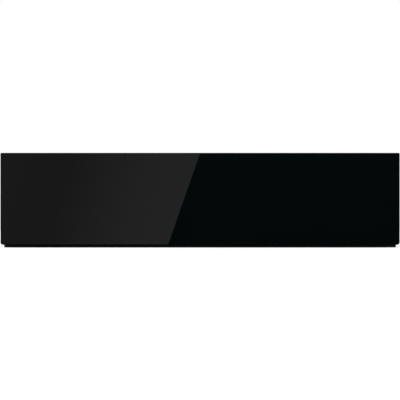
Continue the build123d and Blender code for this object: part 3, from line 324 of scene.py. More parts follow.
def aluminised_steel():
    """Dull aluminised sheet with a fine frost and a little heat straw."""
    finish = Finish("aluminised_steel")
    frost = finish.cells(900)
    cloud = finish.noise(9, 5, 0.62)
    eased = finish.rounded(0.4 * MILLIMETRE)
    tint = finish.mixed(frost * 0.5 + cloud * 0.4, (0.47, 0.47, 0.46), (0.62, 0.62, 0.61))
    tint = finish.mixed(finish.span(cloud, 0.55, 0.75) * 0.35, tint, (0.50, 0.45, 0.36))
    rough = 0.44 + frost * 0.1 + cloud * 0.12
    normal = finish.relief(frost + cloud, 0.03 * MILLIMETRE, eased)
    return finish.close(tint, rough, normal, Metallic=0.9)


def brushed_stainless(name, along_x):
    """Brushed sheet: hair lines run across the drawer or along it."""
    finish = Finish(name)
    lines = finish.stretched(9, 900, 900) if along_x else finish.stretched(900, 9, 900)
    hair = finish.noise(1.0, 5, 0.75, lines)
    coarse = finish.stretched(3, 210, 210) if along_x else finish.stretched(210, 3, 210)
    streak = finish.noise(1.0, 3, 0.6, coarse)
    wipe = finish.noise(6, 3, 0.5)
    eased = finish.rounded(0.35 * MILLIMETRE)
    edge = finish.edges(eased)
    tint = finish.mixed(hair * 0.6 + streak * 0.4, (0.52, 0.517, 0.51), (0.72, 0.717, 0.71))
    tint = finish.mixed(edge * 0.5, tint, (0.74, 0.74, 0.73))
    rough = 0.20 + hair * 0.14 + streak * 0.08 + finish.span(wipe, 0.45, 0.75) * 0.09
    normal = finish.relief(hair * 0.8 + streak * 0.4, 0.02 * MILLIMETRE, eased)
    return finish.close(tint, rough, normal, Metallic=1.0)


def enamel(name, colour, worn, level, roughness):
    """Sprayed enamel with an orange-peel skin and a specular level, worn to a grey at the edges."""
    finish = Finish(name)
    peel = finish.noise(650, 2, 0.4)
    dust = finish.noise(3200, 1)
    cloud = finish.noise(14, 3)
    eased = finish.rounded(0.5 * MILLIMETRE)
    edge = finish.edges(eased) * finish.span(finish.noise(90, 4, 0.7), 0.48, 0.66)
    tint = finish.mixed(cloud * 0.5, colour, tuple(channel * 1.35 for channel in colour))
    tint = finish.mixed(edge * 0.4, tint, (worn, worn, worn))
    rough = roughness + cloud * 0.08 + dust * 0.05 + edge * 0.15
    normal = finish.relief(peel + dust * 0.2, 0.04 * MILLIMETRE, eased)
    return finish.close(tint, rough, normal, Specular_IOR_Level=level)


# ---- finishes: small metal -----------------------------------------------------------------------

def rail_zinc():
    """Bright zinc plating over roll-formed strip, with drawn lines and a film of grease."""
    finish = Finish("rail_zinc")
    drawn = finish.noise(1.0, 4, 0.7, finish.stretched(1300, 12, 1300))
    grease = finish.noise(1.0, 5, 0.62, finish.stretched(240, 5, 240))
    film = finish.span(grease, 0.5, 0.8)
    eased = finish.rounded(0.3 * MILLIMETRE)
    tint = finish.mixed(drawn, (0.50, 0.515, 0.53), (0.63, 0.645, 0.66))
    tint = finish.mixed(film * 0.3, tint, (0.43, 0.42, 0.37))
    rough = 0.2 + drawn * 0.14 + film * 0.1
    return finish.close(tint, rough, finish.relief(drawn, 0.02 * MILLIMETRE, eased), Metallic=1.0)


def plain_steel(name, dark, pale, roughness, grain=1500):
    """Bare or plated small steel parts with a fine grain and a stained film."""
    finish = Finish(name)
    speck = finish.noise(grain, 3, 0.6)
    stain = finish.noise(130, 4, 0.6)
    eased = finish.rounded(0.15 * MILLIMETRE)
    edge = finish.edges(eased)
    tint = finish.mixed(speck * 0.5 + stain * 0.5, dark, pale)
    tint = finish.mixed(edge * 0.4, tint, tuple(min(1.0, channel * 1.2) for channel in pale))
    rough = roughness + speck * 0.12 + stain * 0.1
    return finish.close(tint, rough, finish.relief(speck, 0.02 * MILLIMETRE, eased), Metallic=1.0)


def spring_steel():
    """Tempered strip: blue with straw at its ends."""
    finish = Finish("spring_steel")
    drawn = finish.noise(1.0, 3, 0.6, finish.stretched(20, 20, 1500))
    heat = finish.noise(45, 3, 0.5)
    tint = finish.ramp(finish.span(heat, 0.3, 0.7), (
        (0.0, (0.30, 0.24, 0.15)), (0.35, (0.26, 0.20, 0.24)), (0.6, (0.13, 0.17, 0.29)),
        (1.0, (0.24, 0.29, 0.36)),
    ))
    rough = 0.24 + drawn * 0.18
    eased = finish.rounded(0.1 * MILLIMETRE)
    return finish.close(tint, rough, finish.relief(drawn, 0.015 * MILLIMETRE, eased), Metallic=1.0)


def heater_sheath():
    """Steel tube tinted by heat in bands, with a dry oxide skin."""
    finish = Finish("heater_sheath")
    heat = finish.noise(24, 4, 0.55)
    skin = finish.noise(900, 3, 0.6)
    tint = finish.ramp(finish.span(heat, 0.3, 0.72), (
        (0.0, (0.20, 0.19, 0.18)), (0.4, (0.27, 0.22, 0.15)), (0.7, (0.19, 0.14, 0.16)),
        (1.0, (0.15, 0.17, 0.22)),
    ))
    rough = 0.42 + skin * 0.22
    return finish.close(tint, rough, finish.relief(skin, 0.05 * MILLIMETRE), Metallic=0.85)


def motor_steel():
    """Stacked laminations: thin lines across the shaft, rust in the seams."""
    finish = Finish("motor_steel")
    layers = finish.node(
        "ShaderNodeTexWave", {"bands_direction": "Y"},
        {"Vector": finish.place, "Scale": 320.0, "Distortion": 0.4, "Detail": 1.0}, "Fac",
    )
    rust = finish.noise(160, 5, 0.65)
    tint = finish.mixed(layers, (0.20, 0.20, 0.21), (0.44, 0.44, 0.45))
    tint = finish.mixed(finish.span(rust, 0.56, 0.7) * 0.5, tint, (0.24, 0.13, 0.07))
    rough = 0.36 + rust * 0.2
    eased = finish.rounded(0.2 * MILLIMETRE)
    return finish.close(tint, rough, finish.relief(layers, 0.08 * MILLIMETRE, eased), Metallic=0.85)


# ---- finishes: glass, plastic, rubber, fibre -----------------------------------------------------

def front_glass(tint):
    """Black-backed float glass: polished, with the faintest haze of handling."""
    finish = Finish("front_glass")
    haze = finish.noise(11, 4, 0.6)
    specks = finish.span(finish.noise(900, 2), 0.72, 0.8)
    deeper = tuple(channel * 0.8 for channel in tint)
    colour = finish.mixed(haze * 0.6, tint, deeper)
    rough = 0.012 + finish.span(haze, 0.45, 0.8) * 0.012 + specks * 0.02
    return finish.close(colour, rough, IOR=1.5)


def ground_glass_edge():
    """Ground edge of the glass, near black and without gloss: partly the glass's own black, partly a
    painted dark reflection along the edge.
    """
    finish = Finish("ground_glass_edge")
    grit = finish.noise(4200, 2, 0.7)
    # near black and unreflecting: painted dark reflection along the edge
    colour = finish.mixed(grit, (0.0006, 0.0008, 0.0008), (0.0016, 0.0021, 0.0021))
    rough = 0.5 + grit * 0.2
    return finish.close(colour, rough, finish.relief(grit, 0.01 * MILLIMETRE), Specular_IOR_Level=0.0)


def polished_glass_side():
    """Sides of the pane: ground, then polished, with a trace of the wheel's lines."""
    finish = Finish("polished_glass_side")
    lines = finish.noise(1.0, 3, 0.6, finish.stretched(40, 2600, 40))
    colour = finish.mixed(lines, (0.003, 0.006, 0.006), (0.006, 0.011, 0.010))
    rough = 0.16 + lines * 0.14
    return finish.close(colour, rough, finish.relief(lines, 0.01 * MILLIMETRE), IOR=1.5)


def glass_print():
    """Black ceramic print fired on the back of the glass."""
    finish = Finish("glass_print")
    pores = finish.noise(1900, 3, 0.6)
    cloud = finish.noise(30, 3)
    colour = finish.mixed(cloud, (0.006, 0.006, 0.007), (0.013, 0.013, 0.014))
    normal = finish.relief(pores, 0.015 * MILLIMETRE)
    return finish.close(colour, 0.38 + pores * 0.15, normal, Specular_IOR_Level=0.35)


def moulded_plastic(name, colour, roughness, grain=2400, grain_depth=0.03):
    """Moulded plastic with a sparked grain of some depth in millimetres and smoother edges."""
    finish = Finish(name)
    spark = finish.noise(grain, 2, 0.6)
    cloud = finish.noise(40, 3)
    eased = finish.rounded(0.3 * MILLIMETRE)
    edge = finish.edges(eased)
    pale = tuple(min(1.0, channel * 1.3 + 0.004) for channel in colour)
    tint = finish.mixed(cloud * 0.5 + spark * 0.2, colour, pale)
    tint = finish.mixed(edge * 0.35, tint, tuple(min(1.0, channel * 1.6 + 0.01) for channel in colour))
    rough = roughness + spark * 0.12 - edge * 0.12
    normal = finish.relief(spark, grain_depth * MILLIMETRE, eased)
    return finish.close(tint, rough, normal, Specular_IOR_Level=0.5)


def rubber(name, colour, roughness):
    """Matt rubber or silicone with a bloom of dust."""
    finish = Finish(name)
    skin = finish.noise(1500, 3, 0.6)
    dust = finish.span(finish.noise(60, 5, 0.65), 0.45, 0.75)
    bloom = tuple(channel * 0.6 + 0.045 for channel in colour)
    tint = finish.mixed(dust * 0.5 + skin * 0.12, colour, bloom)
    rough = roughness + skin * 0.1 + dust * 0.08
    normal = finish.relief(skin, 0.05 * MILLIMETRE, finish.rounded(0.25 * MILLIMETRE))
    return finish.close(tint, rough, normal, Specular_IOR_Level=0.3, Sheen_Weight=0.1)


def mineral_fibre():
    """Pressed mineral fibre: matted threads lying flat, with darker pockets."""
    finish = Finish("mineral_fibre")
    lengthwise = finish.noise(1.0, 6, 0.7, finish.stretched(60, 900, 900), distortion=0.8)
    crosswise = finish.noise(1.0, 6, 0.7, finish.stretched(900, 60, 900), distortion=0.8)
    pocket = finish.noise(70, 4, 0.6)
    threads = lengthwise * 0.5 + crosswise * 0.5
    tint = finish.ramp(finish.span(threads * 0.7 + pocket * 0.3, 0.3, 0.68), (
        (0.0, (0.20, 0.17, 0.11)), (0.45, (0.42, 0.37, 0.26)), (1.0, (0.64, 0.59, 0.46)),
    ))
    normal = finish.relief(threads + pocket * 0.5, 0.6 * MILLIMETRE)
    return finish.close(tint, 0.93, normal, Specular_IOR_Level=0.15, Sheen_Weight=0.25)


def amber_lens():
    """Clear amber plastic over the lamp."""
    finish = Finish("amber_lens")
    depth = finish.noise(260, 2)
    tint = finish.mixed(depth, (0.62, 0.17, 0.03), (0.80, 0.30, 0.06))
    rough = 0.08 + finish.noise(1200, 2) * 0.08
    return finish.close(tint, rough, Coat_Weight=0.6)


def pale_print():
    """Silk-screened pale ink on the dial plate and the knob's pointer."""
    finish = Finish("pale_print")
    ink = finish.noise(2600, 3, 0.6)
    tint = finish.mixed(ink, (0.56, 0.56, 0.55), (0.70, 0.70, 0.68))
    return finish.close(tint, 0.5 + ink * 0.15, finish.relief(ink, 0.01 * MILLIMETRE))


def make_finishes(colours):
    """Every finish by name, made once."""
    return {
        "zinc_sides": galvanised_steel("zinc_sides", sheet=(0.0, 0.0, 0.0), tone=1.0),
        "zinc_cover": galvanised_steel("zinc_cover", sheet=(0.31, 0.17, 0.05), tone=1.02),
        "zinc_rear": galvanised_steel("zinc_rear", sheet=(-0.23, 0.42, 0.13), tone=0.97),
        "aluminised": aluminised_steel(),
        "stainless_across": brushed_stainless("stainless_across", along_x=True),
        "stainless_along": brushed_stainless("stainless_along", along_x=False),
        # the bottom bar's enamel is a darker, less glossy copy of the frame's: painted shade for the
        # strip in shadow under the glass
        "strip_enamel": enamel(
            "strip_enamel", (0.0018, 0.0018, 0.0019), worn=0.012, level=0.13, roughness=0.48
        ),
        "frame_enamel": enamel(
            "frame_enamel", (0.004, 0.004, 0.0044), worn=0.03, level=0.24, roughness=0.42
        ),
        "carrier_enamel": enamel(
            "carrier_enamel", (0.030, 0.030, 0.032), worn=0.12, level=0.4, roughness=0.34
        ),
        "rail_zinc": rail_zinc(),
        "cage_steel": plain_steel(
            "cage_steel", dark=(0.38, 0.39, 0.41), pale=(0.60, 0.61, 0.63), roughness=0.18
        ),
        "rivet_steel": plain_steel(
            "rivet_steel", dark=(0.42, 0.43, 0.44), pale=(0.64, 0.65, 0.66), roughness=0.22
        ),
        "spindle_steel": plain_steel(
            "spindle_steel", dark=(0.46, 0.44, 0.40), pale=(0.66, 0.64, 0.60), roughness=0.2
        ),
        "fan_aluminium": plain_steel(
            "fan_aluminium", dark=(0.55, 0.56, 0.57), pale=(0.76, 0.77, 0.78), roughness=0.3, grain=900
        ),
        "spring_steel": spring_steel(),
        "heater_sheath": heater_sheath(),
        "motor_steel": motor_steel(),
        "glass": front_glass(tuple(colours.glass)),
        "glass_edge": ground_glass_edge(),
        "glass_side": polished_glass_side(),
        "glass_print": glass_print(),
        "black_plastic": moulded_plastic("black_plastic", (0.022, 0.022, 0.023), roughness=0.42),
        "knob_plastic": moulded_plastic(
            "knob_plastic", (0.034, 0.034, 0.036), roughness=0.36, grain=3200, grain_depth=0.02
        ),
        "dial_enamel": moulded_plastic(
            "dial_enamel", (0.020, 0.020, 0.022), roughness=0.3, grain=2000, grain_depth=0.01
        ),
        "thermostat_case": moulded_plastic(
            "thermostat_case", (0.085, 0.060, 0.045), roughness=0.25, grain=900, grain_depth=0.02
        ),
        "terminal_nylon": moulded_plastic(
            "terminal_nylon", (0.60, 0.585, 0.52), roughness=0.38, grain=1800, grain_depth=0.02
        ),
        "latch_nylon": moulded_plastic(
            "latch_nylon", (0.17, 0.18, 0.19), roughness=0.4, grain=1800, grain_depth=0.02
        ),
        "foot_rubber": rubber("foot_rubber", (0.028, 0.028, 0.028), roughness=0.72),
        "adhesive": rubber("adhesive", (0.020, 0.020, 0.021), roughness=0.6),
        "silicone": rubber("silicone", tuple(colours.mat), roughness=0.55),
        "mineral_fibre": mineral_fibre(),
        "amber_lens": amber_lens(),
        "pale_print": pale_print(),
    }


FINISHES = {}


# ---- mesh helpers --------------------------------------------------------------------------------

def dress(finish, *nodes):
    """Gives CAD nodes a finish; their meshes stay as they are."""
    for node in nodes:
        materials = NODES[node].data.materials
        materials.clear()
        materials.append(FINISHES[finish])


def placed(name, data):
    """A new object in the scene, at the origin."""
    made = bpy.data.objects.new(name, data)
    bpy.context.scene.collection.objects.link(made)
    return made


def piece(name, mesh, body, replaces=(), finishes=()):
    """A finished mesh as a piece that rides on a body; a baked mesh brings its own finish."""
    made = placed(name, mesh)
    for finish in finishes:
        mesh.materials.append(FINISHES[finish])
    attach(made, body)
    if replaces:
        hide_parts(*replaces)


def turned_outwards(work, mesh):
    """Writes a closed shape to a mesh, its faces outwards; broad faces are flat, the rest smooth."""
    bmesh.ops.recalc_face_normals(work, faces=work.faces)
    for edge in work.edges:
        edge.smooth = len(edge.link_faces) == 2 and edge.calc_face_angle(0.0) < SMOOTH_BELOW
    for face in work.faces:
        face.smooth = len(face.verts) < BROAD_FACE
    work.to_mesh(mesh)
    work.free()
    return mesh


def closed_mesh(work, name):
    """A new mesh of a closed shape."""
    return turned_outwards(work, bpy.data.meshes.new(name))


def rounded_outline(low_x, high_x, low_z, high_z, top_radius, bottom_radius):
    """Points round a rectangle with rounded corners, anticlockwise seen from -Y."""
    corners = (
        (high_x - bottom_radius, low_z + bottom_radius, bottom_radius, -90),
        (high_x - top_radius, high_z - top_radius, top_radius, 0),
        (low_x + top_radius, high_z - top_radius, top_radius, 90),
        (low_x + bottom_radius, low_z + bottom_radius, bottom_radius, 180),
    )
    points = []
    for x, z, radius, start in corners:
        for step in range(CORNER_STEPS + 1):
            angle = math.radians(start + 90 * step / CORNER_STEPS)
            points.append((x + radius * math.cos(angle), z + radius * math.sin(angle)))
    return points


def islands(node):
    """The separate solids of a CAD node, each as an array of its points."""
    mesh = bmesh.new()
    mesh.from_mesh(NODES[node].data)
    bmesh.ops.remove_doubles(mesh, verts=mesh.verts, dist=MERGE)
    left = set(mesh.verts)
    found = []
    while left:
        todo = [left.pop()]
        group = []
        while todo:
            vertex = todo.pop()
            group.append(tuple(vertex.co))
            for edge in vertex.link_edges:
                other = edge.other_vert(vertex)
                if other in left:
                    left.remove(other)
                    todo.append(other)
        found.append(np.array(group))
    mesh.free()
    return sorted(found, key=lambda points: tuple(np.round(points.mean(0), 5)))


def points_object(name, points, directions, lengths):
    """A mesh of loose points that carries a direction and a length for each."""
    mesh = bpy.data.meshes.new(name)
    mesh.from_pydata([tuple(point) for point in points], [], [])
    direction = mesh.attributes.new("direction", "FLOAT_VECTOR", "POINT")
    direction.data.foreach_set("vector", np.array(directions, np.float32).ravel())
    length = mesh.attributes.new("length", "FLOAT", "POINT")
    length.data.foreach_set("value", np.array(lengths, np.float32))
    return placed(name, mesh)


class Maker(Graph):
    """A Geometry Nodes tree with named inputs for its sizes."""

    def __init__(self, name, **inputs):
        tree = bpy.data.node_groups.new(name, "GeometryNodeTree")
        tree.is_modifier = True
        tree.interface.new_socket("Geometry", in_out="INPUT", socket_type="NodeSocketGeometry")
        tree.interface.new_socket("Geometry", in_out="OUTPUT", socket_type="NodeSocketGeometry")
        self.identifiers = {}
        for label, value in inputs.items():
            plain = label.replace("_", " ")
            socket = tree.interface.new_socket(plain, in_out="INPUT", socket_type="NodeSocketFloat")
            socket.default_value = value
            self.identifiers[label] = socket.identifier
        super().__init__(tree)
        self.values = inputs
        self.entry = tree.nodes.new("NodeGroupInput")

    def given(self, label="Geometry"):
        return Value(self, self.entry.outputs[label.replace("_", " ")])

    def vector(self, x=0.0, y=0.0, z=0.0):
        return self.node("ShaderNodeCombineXYZ", sockets={"X": x, "Y": y, "Z": z})

    def attribute(self, name, kind):
        return self.node("GeometryNodeInputNamedAttribute", {"data_type": kind}, {"Name": name})

    def joined(self, *parts):
        join = self.tree.nodes.new("GeometryNodeJoinGeometry")
        for part in parts:
            self.tree.links.new(part.socket, join.inputs[0])
        return Value(self, join.outputs[0])

    def finish(self, geometry, finish):
        real = self.node("GeometryNodeRealizeInstances", sockets={"Geometry": geometry})
        sockets = {"Geometry": real, "Material": FINISHES[finish]}
        self.node("NodeGroupOutput", sockets={0: self.node("GeometryNodeSetMaterial", sockets=sockets)})

    def bake(self, carrier, name):
        """The tree's result on a carrier object as a plain mesh; the carrier goes."""
        modifier = carrier.modifiers.new("maker", "NODES")
        modifier.node_group = self.tree
        for label, value in self.values.items():
            modifier[self.identifiers[label]] = value
        bpy.context.view_layer.update()
        evaluated = carrier.evaluated_get(bpy.context.evaluated_depsgraph_get())
        mesh = bpy.data.meshes.new_from_object(evaluated)
        mesh.name = name
        carrier.modifiers.remove(modifier)
        bpy.data.objects.remove(carrier)
        work = bmesh.new()
        work.from_mesh(mesh)
        return turned_outwards(work, mesh)


def grid_to_wrap(maker, segments, rows):
    """A grid whose points are all placed later, the number of each point's row and its angle."""
    sockets = {"Size X": 1.0, "Size Y": 1.0, "Vertices X": segments + 1, "Vertices Y": rows}
    grid = maker.node("GeometryNodeMeshGrid", sockets=sockets)
    index = maker.node("GeometryNodeInputIndex")
    angle = maker.math("FLOOR", index / rows) * (-2 * math.pi / segments)
    return grid, maker.math("MODULO", index, rows), angle


def wrapped(maker, grid, angle, radius, height):
    """The grid's points placed round Z, its seam and poles closed."""
    across, deep = (maker.math(wave, angle) * radius for wave in ("COSINE", "SINE"))
    sockets = {"Geometry": grid, "Position": maker.vector(across, deep, height)}
    moved = maker.node("GeometryNodeSetPosition", sockets=sockets)
    return maker.node("GeometryNodeMergeByDistance", sockets={"Geometry": moved, "Distance": MERGE})


def turned_shape(maker, profile, segments):
    """Closed turned body; each row of its profile is a radius, a height and perhaps a lobe share."""
    grid, row, angle = grid_to_wrap(maker, segments, len(profile))
    lobes = maker.math("COSINE", angle * float(RECESS_LOBES))
    radius, height = 0.0, 0.0
    for number, (row_radius, row_height, *lobe) in enumerate(profile):
        chosen = maker.math("COMPARE", row, float(number))
        swell = 1.0 + lobes * lobe[0] if lobe else 1.0
        radius = chosen * row_radius * swell + radius
        height = chosen * row_height + height
    return wrapped(maker, grid, angle, radius, height)


def threaded_shank(maker, turns):
    """Closed shank below Z = 0 with a rolled thread."""
    rows = THREAD_ROWS * turns + 3
    radius, length = maker.given("Shank_radius"), maker.given("Shank_length")
    pitch = maker.given("Thread_pitch")
    grid, row, angle = grid_to_wrap(maker, THREAD_SEGMENTS, rows)
    along = maker.span(row, 1.0, rows - 2.0) * length
    groove = maker.math("COSINE", along / pitch * (2 * math.pi) - angle) * 0.5 + 0.5
    inside = maker.math("GREATER_THAN", row, 0.5) * maker.math("LESS_THAN", row, rows - 1.5)
    wide = (radius - groove * pitch * THREAD_SHARE) * inside
    return wrapped(maker, grid, angle, wide, 0.0 - along)


def on_points(maker, points, shape, length_scale=False):
    """Instances of a shape on points, its Z along each point's direction."""
    direction = maker.attribute("direction", "FLOAT_VECTOR")
    turn = maker.node("FunctionNodeAlignRotationToVector", {"axis": "Z"}, {"Vector": direction})
    sockets = {"Points": points, "Instance": shape, "Rotation": turn}
    if length_scale:
        length = maker.attribute("length", "FLOAT")
        sockets["Scale"] = maker.vector(1.0, 1.0, length)
        sockets["Selection"] = maker.math("GREATER_THAN", length, 0.0)
    return maker.node("GeometryNodeInstanceOnPoints", sockets=sockets)


# ---- fasteners -----------------------------------------------------------------------------------

def head_seats(node, head_height):
    """Where a node's heads sit: points, outward directions and grips, one grip to each fastener."""
    points, directions, grips = [], [], []
    for solid in islands(node):
        low, high = solid.min(0), solid.max(0)
        axis = int(np.argmin(high - low))
        others = [other for other in range(3) if other != axis]
        middle = (low + high) / 2
        head_radius = (high - low)[others].max() / 2
        headed = []
        for end in (low[axis], high[axis]):
            ring = solid[np.abs(solid[:, axis] - end) < END_TOLERANCE][:, others] - middle[others]
            headed.append(np.linalg.norm(ring, axis=1).max() > HEAD_SHARE * head_radius)
        seats = (low[axis] + head_height * headed[0], high[axis] - head_height * headed[1])
        grip = seats[1] - seats[0]
        for way, seat, present in zip((-1, 1), seats, headed):
            if present:
                point, direction = middle.copy(), np.zeros(3)
                point[axis], direction[axis] = seat, way
                points.append(point)
                directions.append(direction)
                grips.append(grip)
                grip = 0.0
    return points, directions, grips


def rivet_maker(sizes):
    """Blind rivets: a low dome with a dimple, and a unit pin that is stretched to each grip."""
    maker = Maker(
        "blind_rivets", Head_radius=sizes.rivet_radius, Head_height=sizes.rivet_height,
        Shank_radius=sizes.rivet_shank,
    )
    radius, height = maker.given("Head_radius"), maker.given("Head_height")
    profile = (
        (0.0, 0.0), (radius, 0.0), (radius, height * 0.2), (radius * 0.88, height * 0.66),
        (radius * 0.6, height * 0.94), (radius * 0.38, height * 1.0), (radius * 0.3, height * 0.7),
        (0.0, height * 0.62),
    )
    head = turned_shape(maker, profile, RIVET_SEGMENTS)
    sockets = {"Vertices": PIN_SEGMENTS, "Radius": maker.given("Shank_radius"), "Depth": 1.0}
    pin = maker.node("GeometryNodeMeshCylinder", sockets=sockets)
    sockets = {"Geometry": pin, "Translation": (0.0, 0.0, -0.5)}
    lowered = maker.node("GeometryNodeTransform", sockets=sockets)
    seats = maker.given()
    both = maker.joined(on_points(maker, seats, head), on_points(maker, seats, lowered, True))
    maker.finish(both, "rivet_steel")
    return maker


def screw_maker(name, radius, height, shank, length):
    """Pan-head screws with a six-lobed recess and a rolled thread."""
    maker = Maker(
        name, Head_radius=radius, Head_height=height, Shank_radius=shank, Shank_length=length,
        Thread_pitch=THREAD_PITCH,
    )
    wide, tall = maker.given("Head_radius"), maker.given("Head_height")
    profile = (
        (0.0, 0.0), (wide, 0.0), (wide, tall * 0.35), (wide * 0.9, tall * 0.75),
        (wide * 0.66, tall * 1.0), (wide * 0.46, tall * 1.0, LOBE_DEPTH),
        (wide * 0.42, tall * 0.42, LOBE_DEPTH), (0.0, tall * 0.36),
    )
    head = turned_shape(maker, profile, SCREW_SEGMENTS)
    body = threaded_shank(maker, max(2, round(length / THREAD_PITCH)))
    maker.finish(on_points(maker, maker.given(), maker.joined(head, body)), "rivet_steel")
    return maker


# ---- shapes of the pieces ------------------------------------------------------------------------

def fibre_board(node, relief):
    """A board of pressed fibre: eased edges, its broad faces gently uneven, inside the node's box."""
    low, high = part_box(node)
    columns = round((high.x - low.x) / BOARD_GRID)
    rows = round((high.y - low.y) / BOARD_GRID)
    work = bmesh.new()
    sheets = []
    for z, way in ((low.z, 1), (high.z, -1)):
        sheet = []
        for column in range(columns + 1):
            line = []
            for row in range(rows + 1):
                x = low.x + (high.x - low.x) * column / columns
                y = low.y + (high.y - low.y) * row / rows
                rim = min(column, columns - column, row, rows - row) == 0
                hollow = 0.5 + 0.5 * noise.noise(Vector((x, y, z)) * BOARD_WAVES)
                drop = relief * (BOARD_RIM if rim else BOARD_HOLLOW * hollow)
                line.append(work.verts.new((x, y, z + way * drop)))
            sheet.append(line)
        sheets.append(sheet)
    for sheet, flip in zip(sheets, (True, False)):
        for column in range(columns):
            for row in range(rows):
                corners = [
                    sheet[column][row], sheet[column + 1][row], sheet[column + 1][row + 1],
                    sheet[column][row + 1],
                ]
                work.faces.new(reversed(corners) if flip else corners)
    bottom, top = sheets
    border = [(column, 0) for column in range(columns)]
    border += [(columns, row) for row in range(rows)]
    border += [(column, rows) for column in range(columns, 0, -1)]
    border += [(0, row) for row in range(rows, 0, -1)]
    for (a, b), (c, d) in zip(border, border[1:] + border[:1]):
        work.faces.new((bottom[a][b], bottom[c][d], top[c][d], top[a][b]))
    return closed_mesh(work, f"{node}_board")


def mat_maker(sizes):
    """A rounded mat with its studs in staggered rows; the studs start in the mat's own skin."""
    span = MAT_HIGH - MAT_LOW
    maker = Maker(
        "studded_mat", Width=span.x, Depth=span.y, Thickness=span.z - sizes.stud_height,
        Corner=sizes.mat_corner, Pitch=sizes.stud_pitch, Stud_radius=sizes.stud_radius,
        Stud_height=sizes.stud_height,
    )
    width, depth, thickness = (maker.given(name) for name in ("Width", "Depth", "Thickness"))
    pitch, radius, height = (maker.given(name) for name in ("Pitch", "Stud_radius", "Stud_height"))
    sides = {"Width": width, "Height": depth}
    outline = maker.node("GeometryNodeCurvePrimitiveQuadrilateral", {"mode": "RECTANGLE"}, sides)
    corners = {"Curve": outline, "Radius": maker.given("Corner"), "Count": FILLET_POINTS}
    eased = maker.node("GeometryNodeFilletCurve", {"mode": "POLY"}, corners)
    sheet = maker.node("GeometryNodeFillCurve", {"mode": "NGONS"}, {"Curve": eased})
    raised = maker.node("GeometryNodeExtrudeMesh", sockets={"Mesh": sheet, "Offset Scale": thickness})
    under = maker.node("GeometryNodeFlipFaces", sockets={"Mesh": sheet})
    sockets = {"Geometry": maker.joined(raised, under), "Distance": MERGE}
    slab = maker.node("GeometryNodeMergeByDistance", sockets=sockets)
    row_pitch = pitch * (math.sqrt(3) / 2)
    columns = maker.math("FLOOR", (width - pitch * MAT_MARGINS[0]) / pitch)
    rows = maker.math("FLOOR", (depth - pitch * MAT_MARGINS[1]) / row_pitch)
    grid = maker.node("GeometryNodeMeshGrid", sockets={
        "Size X": columns * pitch - pitch, "Size Y": rows * row_pitch - row_pitch,
        "Vertices X": columns, "Vertices Y": rows,
    })
    index = maker.node("GeometryNodeInputIndex")
    odd = maker.math("MODULO", maker.math("MODULO", index, rows), 2.0)
    stagger = maker.vector((odd - 0.5) * pitch * 0.5, 0.0, thickness)
    spots = maker.node("GeometryNodeSetPosition", sockets={"Geometry": grid, "Offset": stagger})
    sunk = 0.0 - height * STUD_SUNK
    profile = ((0.0, sunk), (radius, sunk), (radius * STUD_TOP, height), (0.0, height))
    stud = turned_shape(maker, profile, STUD_SEGMENTS)
    studs = maker.node("GeometryNodeInstanceOnPoints", sockets={"Points": spots, "Instance": stud})
    maker.finish(maker.joined(slab, studs), "silicone")
    return maker


def on_dial(angle, radius):
    """A point on the dial: the angle runs clockwise from the top for someone who faces the knob."""
    centre = (KNOB_LOW + KNOB_HIGH) / 2
    return centre.x - radius * math.sin(angle), centre.z + radius * math.cos(angle)


def dial_numbers(sizes):
    """The numbers 0 to 4 as one mesh on the dial plate."""
    work = bmesh.new()
    for number in range(DIAL_STEPS + 1):
        x, z = on_dial(math.radians(DIAL_TURN * number / DIAL_STEPS), sizes.digit_circle)
        text = bpy.data.curves.new(f"digit_{number}", "FONT")
        text.body = str(number)
        text.size = sizes.digit_height * FONT_SHARE
        text.extrude = PRINT_THICKNESS / 2
        text.align_x, text.align_y = "CENTER", "CENTER"
        text.resolution_u = FONT_STEPS
        holder = placed(f"digit_{number}", text)
        bpy.context.view_layer.update()
        graph = bpy.context.evaluated_depsgraph_get()
        mesh = bpy.data.meshes.new_from_object(holder.evaluated_get(graph))
        y = DIAL_HIGH.y + PRINT_THICKNESS / 2
        mesh.transform(Matrix(((-1, 0, 0, x), (0, 0, 1, y), (0, 1, 0, z), (0, 0, 0, 1))))
        work.from_mesh(mesh)
        bpy.data.objects.remove(holder)
        bpy.data.meshes.remove(mesh)
    bmesh.ops.remove_doubles(work, verts=work.verts, dist=MERGE)
    return closed_mesh(work, "dial_numbers")


def bar_on_face(work, x, z, half_width, half_length, angle, y_low, y_high):
    """A round-ended bar on an upright face, turned clockwise from upright."""
    ends = []
    for step in range(BAR_STEPS + 1):
        turn = math.pi * step / BAR_STEPS
        rise = half_length - half_width + half_width * math.sin(turn)
        ends.append((half_width * math.cos(turn), rise))
    outline = ends + [(-u, -v) for u, v in ends]
    rings = []
    for y in (y_low, y_high):
        ring = []
        for u, v in outline:
            across = u * math.cos(angle) + v * math.sin(angle)
            up = v * math.cos(angle) - u * math.sin(angle)
            ring.append(work.verts.new((x - across, y, z + up)))
        rings.append(ring)
    count = len(outline)
    for index in range(count):
        after = (index + 1) % count
        work.faces.new((rings[0][index], rings[0][after], rings[1][after], rings[1][index]))
    work.faces.new(rings[1])
    work.faces.new(reversed(rings[0]))


def dial_ticks():
    """Ticks between the knob and its numbers, long ones at the numbers."""
    work = bmesh.new()
    for tick in range(2 * DIAL_STEPS + 1):
        angle = math.radians(DIAL_TURN * tick / (2 * DIAL_STEPS))
        half = TICK_LENGTH / 2 if tick % 2 == 0 else TICK_LENGTH / 3
        x, z = on_dial(angle, TICK_CIRCLE)
        bar_on_face(work, x, z, TICK_WIDTH / 2, half, angle, DIAL_HIGH.y, DIAL_HIGH.y + PRINT_THICKNESS)
    return closed_mesh(work, "dial_ticks")


